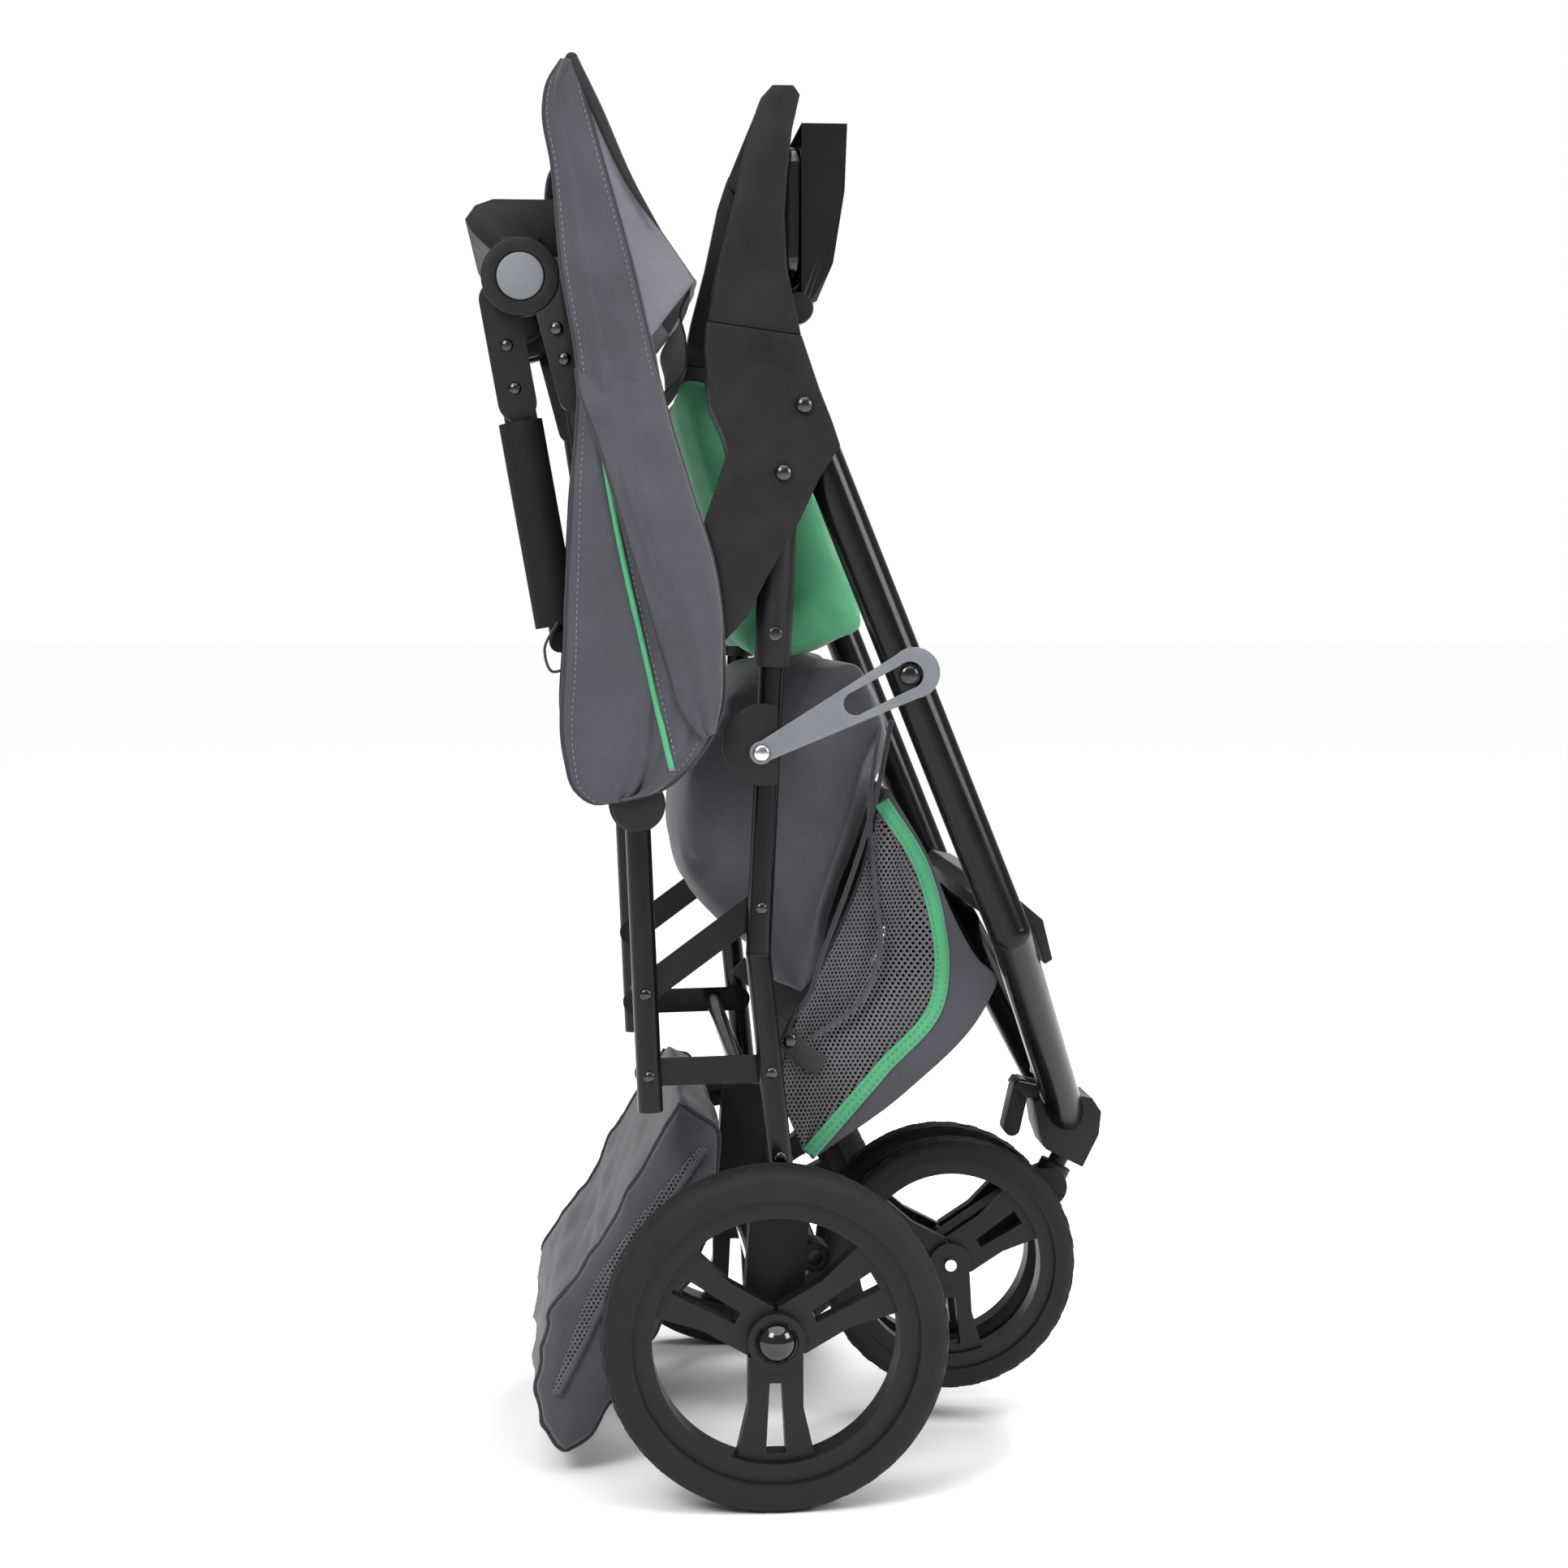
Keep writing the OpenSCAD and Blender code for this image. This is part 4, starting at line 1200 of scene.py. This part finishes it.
@dataclass
class Mouldings(Maker):
    """Moulded CAD parts, given the rounded edges of the real ones."""

    rounded: tuple = (
        ("handle_arms", SEAT, "textured_black_plastic", "black_plastic", 6.0),
        ("shoulder_bracket_right", SEAT, "textured_black_plastic", "black_plastic", 3.0),
        ("shoulder_bracket_left", SEAT, "textured_black_plastic", "black_plastic", 3.0),
        ("leg_sockets", SEAT, "textured_black_plastic", "black_plastic", 1.2),
        ("axle_feet", SEAT, "textured_black_plastic", "black_plastic", 3.0),
        ("hip_hubs", SEAT, "textured_black_plastic", "black_plastic", 1.5),
        ("arm_hubs", SEAT, "textured_black_plastic", "black_plastic", 2.5),
        ("tray_posts", SEAT, "textured_black_plastic", "black_plastic", 2.5),
        ("latch_flange", SEAT, "textured_black_plastic", "black_plastic", 0.8),
        ("front_head", FRONT, "textured_black_plastic", "black_plastic", 4.0),
        ("footrest", FRONT, "textured_black_plastic", "black_plastic", 2.0),
        ("swivel_lock", "swivel_paddle", "textured_black_plastic", "black_plastic", 2.5),
        ("fold_latch", "storage_latch", "slate_grey_plastic", "grey_plastic", 0.9),
        ("release_button_right", "hub_button_right", "slate_grey_plastic", "grey_plastic", 1.4),
        ("release_button_left", "hub_button_left", "slate_grey_plastic", "grey_plastic", 1.4),
        ("child_tray", "child_tray", "textured_black_plastic", "black_plastic", 6.0),
        ("parent_tray", "parent_tray", "glossy_black_plastic", "gloss_black", 3.0),
        ("tray_lid", "tray_lid", "glossy_black_plastic", "gloss_black", 0.6),
        ("grab_bar", "grab_bar", "textured_black_plastic", "black_plastic", 1.5),
    )
    plain: tuple = (
        ("side_tubes", "satin_black_tube"), ("seat_tubes", "satin_black_tube"),
        ("rear_leg_right", "satin_black_tube"), ("rear_leg_left", "satin_black_tube"),
        ("upper_braces", "satin_black_tube"), ("lower_braces", "satin_black_tube"),
        ("cross_tube", "satin_black_tube"), ("front_tube_right", "satin_black_tube"),
        ("front_tube_left", "satin_black_tube"), ("footrest_bar", "satin_black_tube"),
        ("brake_bar", "satin_black_tube"), ("canopy_bow", "satin_black_tube"),
        ("handle_grip", "closed_foam"), ("grab_bar_foam", "closed_foam"),
        ("rear_axle", "bright_steel"), ("front_axle", "bright_steel"),
        ("shoulder_pins", "blackened_steel"), ("frame_rivets", "blackened_steel"),
        ("latch_post", "textured_black_plastic"), ("front_fork", "textured_black_plastic"),
        ("front_tyre_right", "tyre_rubber"), ("front_tyre_left", "tyre_rubber"),
        ("rear_tyre_right", "tyre_rubber"), ("rear_tyre_left", "tyre_rubber"),
        ("front_rim_right", "rim_plastic"), ("front_rim_left", "rim_plastic"),
        ("rear_rim_right", "rim_plastic"), ("rear_rim_left", "rim_plastic"),
        ("hub_cap_right", "glossy_black_plastic"), ("hub_cap_left", "glossy_black_plastic"),
    )

    def make_tray_rim(self) -> None:
        """The parent tray's raised rim: a rounded bead round its face, filling up to the arms."""
        low, high = (np.array(corner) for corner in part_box("parent_tray"))
        half, top, bottom = high[1] - 0.010, high[2] - 0.020, low[2] + 0.036
        a = np.linspace(0, 2 * math.pi, 160, endpoint=False)
        middle, tall = (top + bottom) / 2, (top - bottom) / 2
        power = 0.16
        y = half * np.sign(np.cos(a)) * np.abs(np.cos(a)) ** power
        z = middle + tall * np.sign(np.sin(a)) * np.abs(np.sin(a)) ** power
        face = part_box("tray_lid")[0][0]
        path = np.stack([np.full_like(a, face - 0.005), y, z], axis=1)
        path = along(np.concatenate([path, path[:1]]), 200)[:-1]
        ring, _ = tube_arrays(path, 0.013, 0.5, 16, np.array([1.0, 0.0, 0.0]))
        rim = build("parent_tray_rim", ring, grid_faces(len(path), 16, True, True).tolist())
        self.keep(rim, "parent_tray", "glossy_black_plastic", "gloss_black")

    def make(self) -> None:
        """Rounds and dresses the mouldings, and dresses the nodes that stay as they are."""
        self.make_tray_rim()
        for node, body, finish, slot, radius in self.rounded:
            piece = softened(self.frame["nodes"][node], f"{node}_rounded", radius * MM)
            self.keep(piece, body, finish, slot)
            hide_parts(node)
        for node, finish in self.plain:
            self.wardrobe.dress_node(self.frame["nodes"][node], finish)
            LOG.info("%s dressed in %s", node, finish)


@dataclass
class Rivets(Maker):
    """Domed heads of the rivets and bolts, in the places of their CAD pins."""

    heads: tuple = (
        ("shoulder", SEAT, ((24, 857), (8, 805)), 233.9, 6.6, 3.4),
        ("tray_post", SEAT, ((-165.6, 914.5), (-159.5, 891.2)), 227.7, 5.2, 2.8),
        ("sleeve", "grab_bar", ((-203.7, 903), (-197.8, 870)), 207.6, 5.0, 2.6),
        ("socket", SEAT, ((2.2, 681),), 224.8, 5.2, 1.0),
        ("leg", SEAT, ((-8.2, 467), (-0.5, 337), (6.6, 270)), 219.9, 4.6, 2.2),
        ("seat_tube", SEAT, ((-98.9, 400), (-96.2, 335)), 219.9, 4.6, 2.2),
    )

    def make(self) -> None:
        """One piece of domes for each row of heads, on both sides."""
        for name, body, places, y, radius, height in self.heads:
            for side in Side:
                out = np.array([0.0, float(side.value), 0.0])
                domes = [dome_arrays(p, out, radius * MM, height * MM)
                         for p in at(places, side.value * y)]
                self.keep(joined(f"{name}_rivets_{side.word}", domes), body, "blackened_steel",
                          "steel")
        pivot = dome_arrays(at(((-9, 589),), -231.8)[0], np.array([0.0, -1.0, 0.0]), 6.4 * MM,
                            2.2 * MM)
        self.keep(joined("latch_pivot_head", [pivot]), SEAT, "bright_steel", "steel")
        post = dome_arrays(at(((107, 649),), -225.2)[0], np.array([0.0, -1.0, 0.0]), 8.0 * MM,
                           3.2 * MM)
        self.keep(joined("latch_post_head", [post]), FRONT, "blackened_steel", "steel")


@dataclass
class Treads(Maker):
    """Shoulder blocks of the tyres: slanted wedges repeated round each tyre."""

    wheels: tuple = (("rear", 0.0, 135.0, 250.0, 135.0, 44.0, 44, "rear_wheel"),
                     ("front", 166.0, 140.0, 32.0, 108.0, 30.0, 36, "front_wheel"))

    def make(self) -> None:
        """Wedges on both shoulders of all four tyres."""
        for name, x, z, y, radius, width, count, body in self.wheels:
            for side in Side:
                centre = at(((x, z),), side.value * y)[0]
                self.keep(joined(f"{name}_tread_{side.word}",
                                 self.blocks(centre, radius * MM, width * MM, count), False),
                          f"{body}_{side.word}", "tyre_rubber", "tyre")

    @staticmethod
    def blocks(centre: Array, radius: float, width: float, count: int) -> list:
        """Blocks at radius r and angle a, on alternate slants, for both shoulders.

        Args:
            centre: middle of the wheel.
            radius: radius of the tyre.
            width: width of the tyre.
            count: blocks round one shoulder.

        Returns:
            A list of one (vertices, faces) pair.
        """
        a = np.arange(count) * 2 * math.pi / count
        corner = np.array([[-1, -1, 0], [1, -1, 0], [1, 1, 0], [-1, 1, 0],
                           [-0.8, -0.8, 1], [0.8, -0.8, 1], [0.8, 0.8, 1], [-0.8, 0.8, 1]])
        parts = []
        for sign in (-1, 1):
            lean = 0.35 * corner[:, 1] * 0.02 / radius * 4
            angle = a[:, None] + corner[None, :, 0] * (0.012 / radius) * 0.42 + lean[None] + (
                math.pi / count if sign > 0 else 0)
            y = sign * (width * 0.30 + corner[:, 1] * width * 0.11)
            drop = np.where(corner[:, 1] > 0, width * 0.045, 0.0)
            r = radius - 0.004 + corner[:, 2] * 0.0046 - drop
            points = np.stack([r[None] * np.cos(angle), np.broadcast_to(y, angle.shape),
                               r[None] * np.sin(angle)], axis=2) + centre
            quads = np.array([[0, 1, 2, 3], [4, 5, 6, 7], [0, 1, 5, 4], [1, 2, 6, 5], [2, 3, 7, 6],
                              [3, 0, 4, 7]])
            faces = (np.arange(count)[:, None, None] * 8 + quads[None]).reshape(-1, 4)
            parts.append((points.reshape(-1, 3), faces.tolist()))
        return parts


@dataclass
class Straps(Maker):
    """Webbing on the front frame and its steel ring, and the bar's hanging loop."""

    def make(self) -> None:
        """The crotch strap's end on the front frame, its D-ring, and the bar's hanging loop."""
        path = along(at(((168, 470, -150), (196, 446, -120), (214, 412, -92), (226, 372, -74),
                         (238, 330, -62)), 0), 80)
        strap = tube("front_webbing", path, 10 * MM, 0.12)
        self.keep(strap, FRONT, "webbing", "grey_fabric")
        centre, a = path[-1], np.linspace(0, 2 * math.pi, 49)
        ring = centre + np.stack([0.010 * np.sin(a) * 0.5, 0.012 * np.cos(a),
                                  -0.010 + 0.011 * np.sin(a)], axis=1)
        ring_mesh = tube("front_strap_ring", ring[:-1], 1.7 * MM)
        self.keep(ring_mesh, FRONT, "bright_steel", "steel")
        loop = along(at(((-166, 690, -214), (-176, 668, -217), (-170, 652, -216), (-158, 656, -214),
                         (-156, 676, -212))), 60)
        self.keep(tube("bar_strap", loop, 5.5 * MM, 0.2), "grab_bar", "webbing", "grey_fabric")


# ---- studio --------------------------------------------------------------


@dataclass
class Studio:
    """Floor, lights, sky and camera."""

    eye: tuple[float, float, float] = (-0.1979, -2.418, 0.710)
    yaw: float = 4.572
    pitch: float = 3.783
    lens: float = 65.106
    sky_light: float = 0.30
    floor_half: float = 40.0

    def make(self) -> None:
        """Builds the studio; the sky lights less than it shows, so that blacks stay deep."""
        floor = build("studio_floor", self.floor_half * np.array([[-1, -1, 0], [1, -1, 0], [1, 1, 0],
                                                                [-1, 1, 0.0]]),
                      [[0, 1, 2, 3]], False, False)
        paper = bpy.data.materials.new("pale_floor")
        paper.use_nodes = True
        shader = paper.node_tree.nodes["Principled BSDF"]
        shader.inputs["Base Color"].default_value = (0.95, 0.95, 0.95, 1)
        shader.inputs["Roughness"].default_value = 0.9
        floor.data.materials.append(paper)
        bpy.context.scene.view_settings.view_transform = "Standard"
        world = bpy.data.worlds.new("soft_sky")
        bpy.context.scene.world = world
        world.use_nodes = True
        sky = world.node_tree.nodes["Background"]
        sky.inputs[0].default_value = (1, 1, 1, 1)
        seen = Tree(world.node_tree).add("LightPath").outputs["Is Camera Ray"]
        strength = Tree(world.node_tree).add("MapRange", Value=seen, To_Min=self.sky_light,
                                             To_Max=1.0).outputs[0]
        world.node_tree.links.new(strength, sky.inputs[1])
        self.lamp("key", (-1.7, -2.5, 2.6), 78, 1.3)
        self.lamp("fill", (2.4, -1.5, 1.7), 46, 1.2)
        self.lamp("rim", (1.2, 2.0, 2.2), 60, 1.2)
        sun = bpy.data.lights.new("overhead", "SUN")
        sun.energy, sun.angle = 2.5, math.radians(70)
        high = bpy.data.objects.new("overhead", sun)
        high.rotation_euler = (math.radians(12), 0, 0)
        bpy.context.scene.collection.objects.link(high)
        camera = bpy.data.cameras.new("camera")
        camera.lens, camera.sensor_width = self.lens, 36.0
        camera.clip_start, camera.clip_end = 0.05, 60
        obj = bpy.data.objects.new("camera", camera)
        obj.location = self.eye
        obj.rotation_euler = (math.radians(90 - self.pitch), 0, -math.radians(self.yaw))
        bpy.context.scene.collection.objects.link(obj)
        bpy.context.scene.camera = obj

    @staticmethod
    def lamp(name: str, place: tuple[float, float, float], power: float, size: float) -> None:
        """One square area lamp that faces the stroller's middle.

        Args:
            name: the lamp's name.
            place: where it stands, in metres.
            power: in watts.
            size: length of its side, in metres.
        """
        light = bpy.data.lights.new(name, "AREA")
        light.energy, light.size = power, size
        obj = bpy.data.objects.new(name, light)
        obj.location = place
        aim = np.array([0.0, 0.0, 0.55]) - np.array(place)
        obj.rotation_euler = (math.atan2(math.hypot(aim[0], aim[1]), -aim[2]), 0,
                              math.atan2(aim[1], aim[0]) - math.pi / 2)
        bpy.context.scene.collection.objects.link(obj)


def main() -> None:
    """Loads the frame, builds the studio and every sub-assembly in order, and logs how many pieces
    each made.
    """
    logging.basicConfig(level=logging.INFO, format="%(message)s")
    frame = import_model()
    Studio().make()
    wardrobe = Wardrobe()
    total = 0
    for kind in (Mouldings, Canopy, Seat, Basket, Rivets, Treads, Straps):
        maker = kind(frame, wardrobe)
        maker.make()
        total += len(maker.made)
        LOG.info("%s: %d new pieces", kind.__name__, len(maker.made))
    LOG.info("%d new pieces in all", total)


if __name__ == "__main__":
    main()
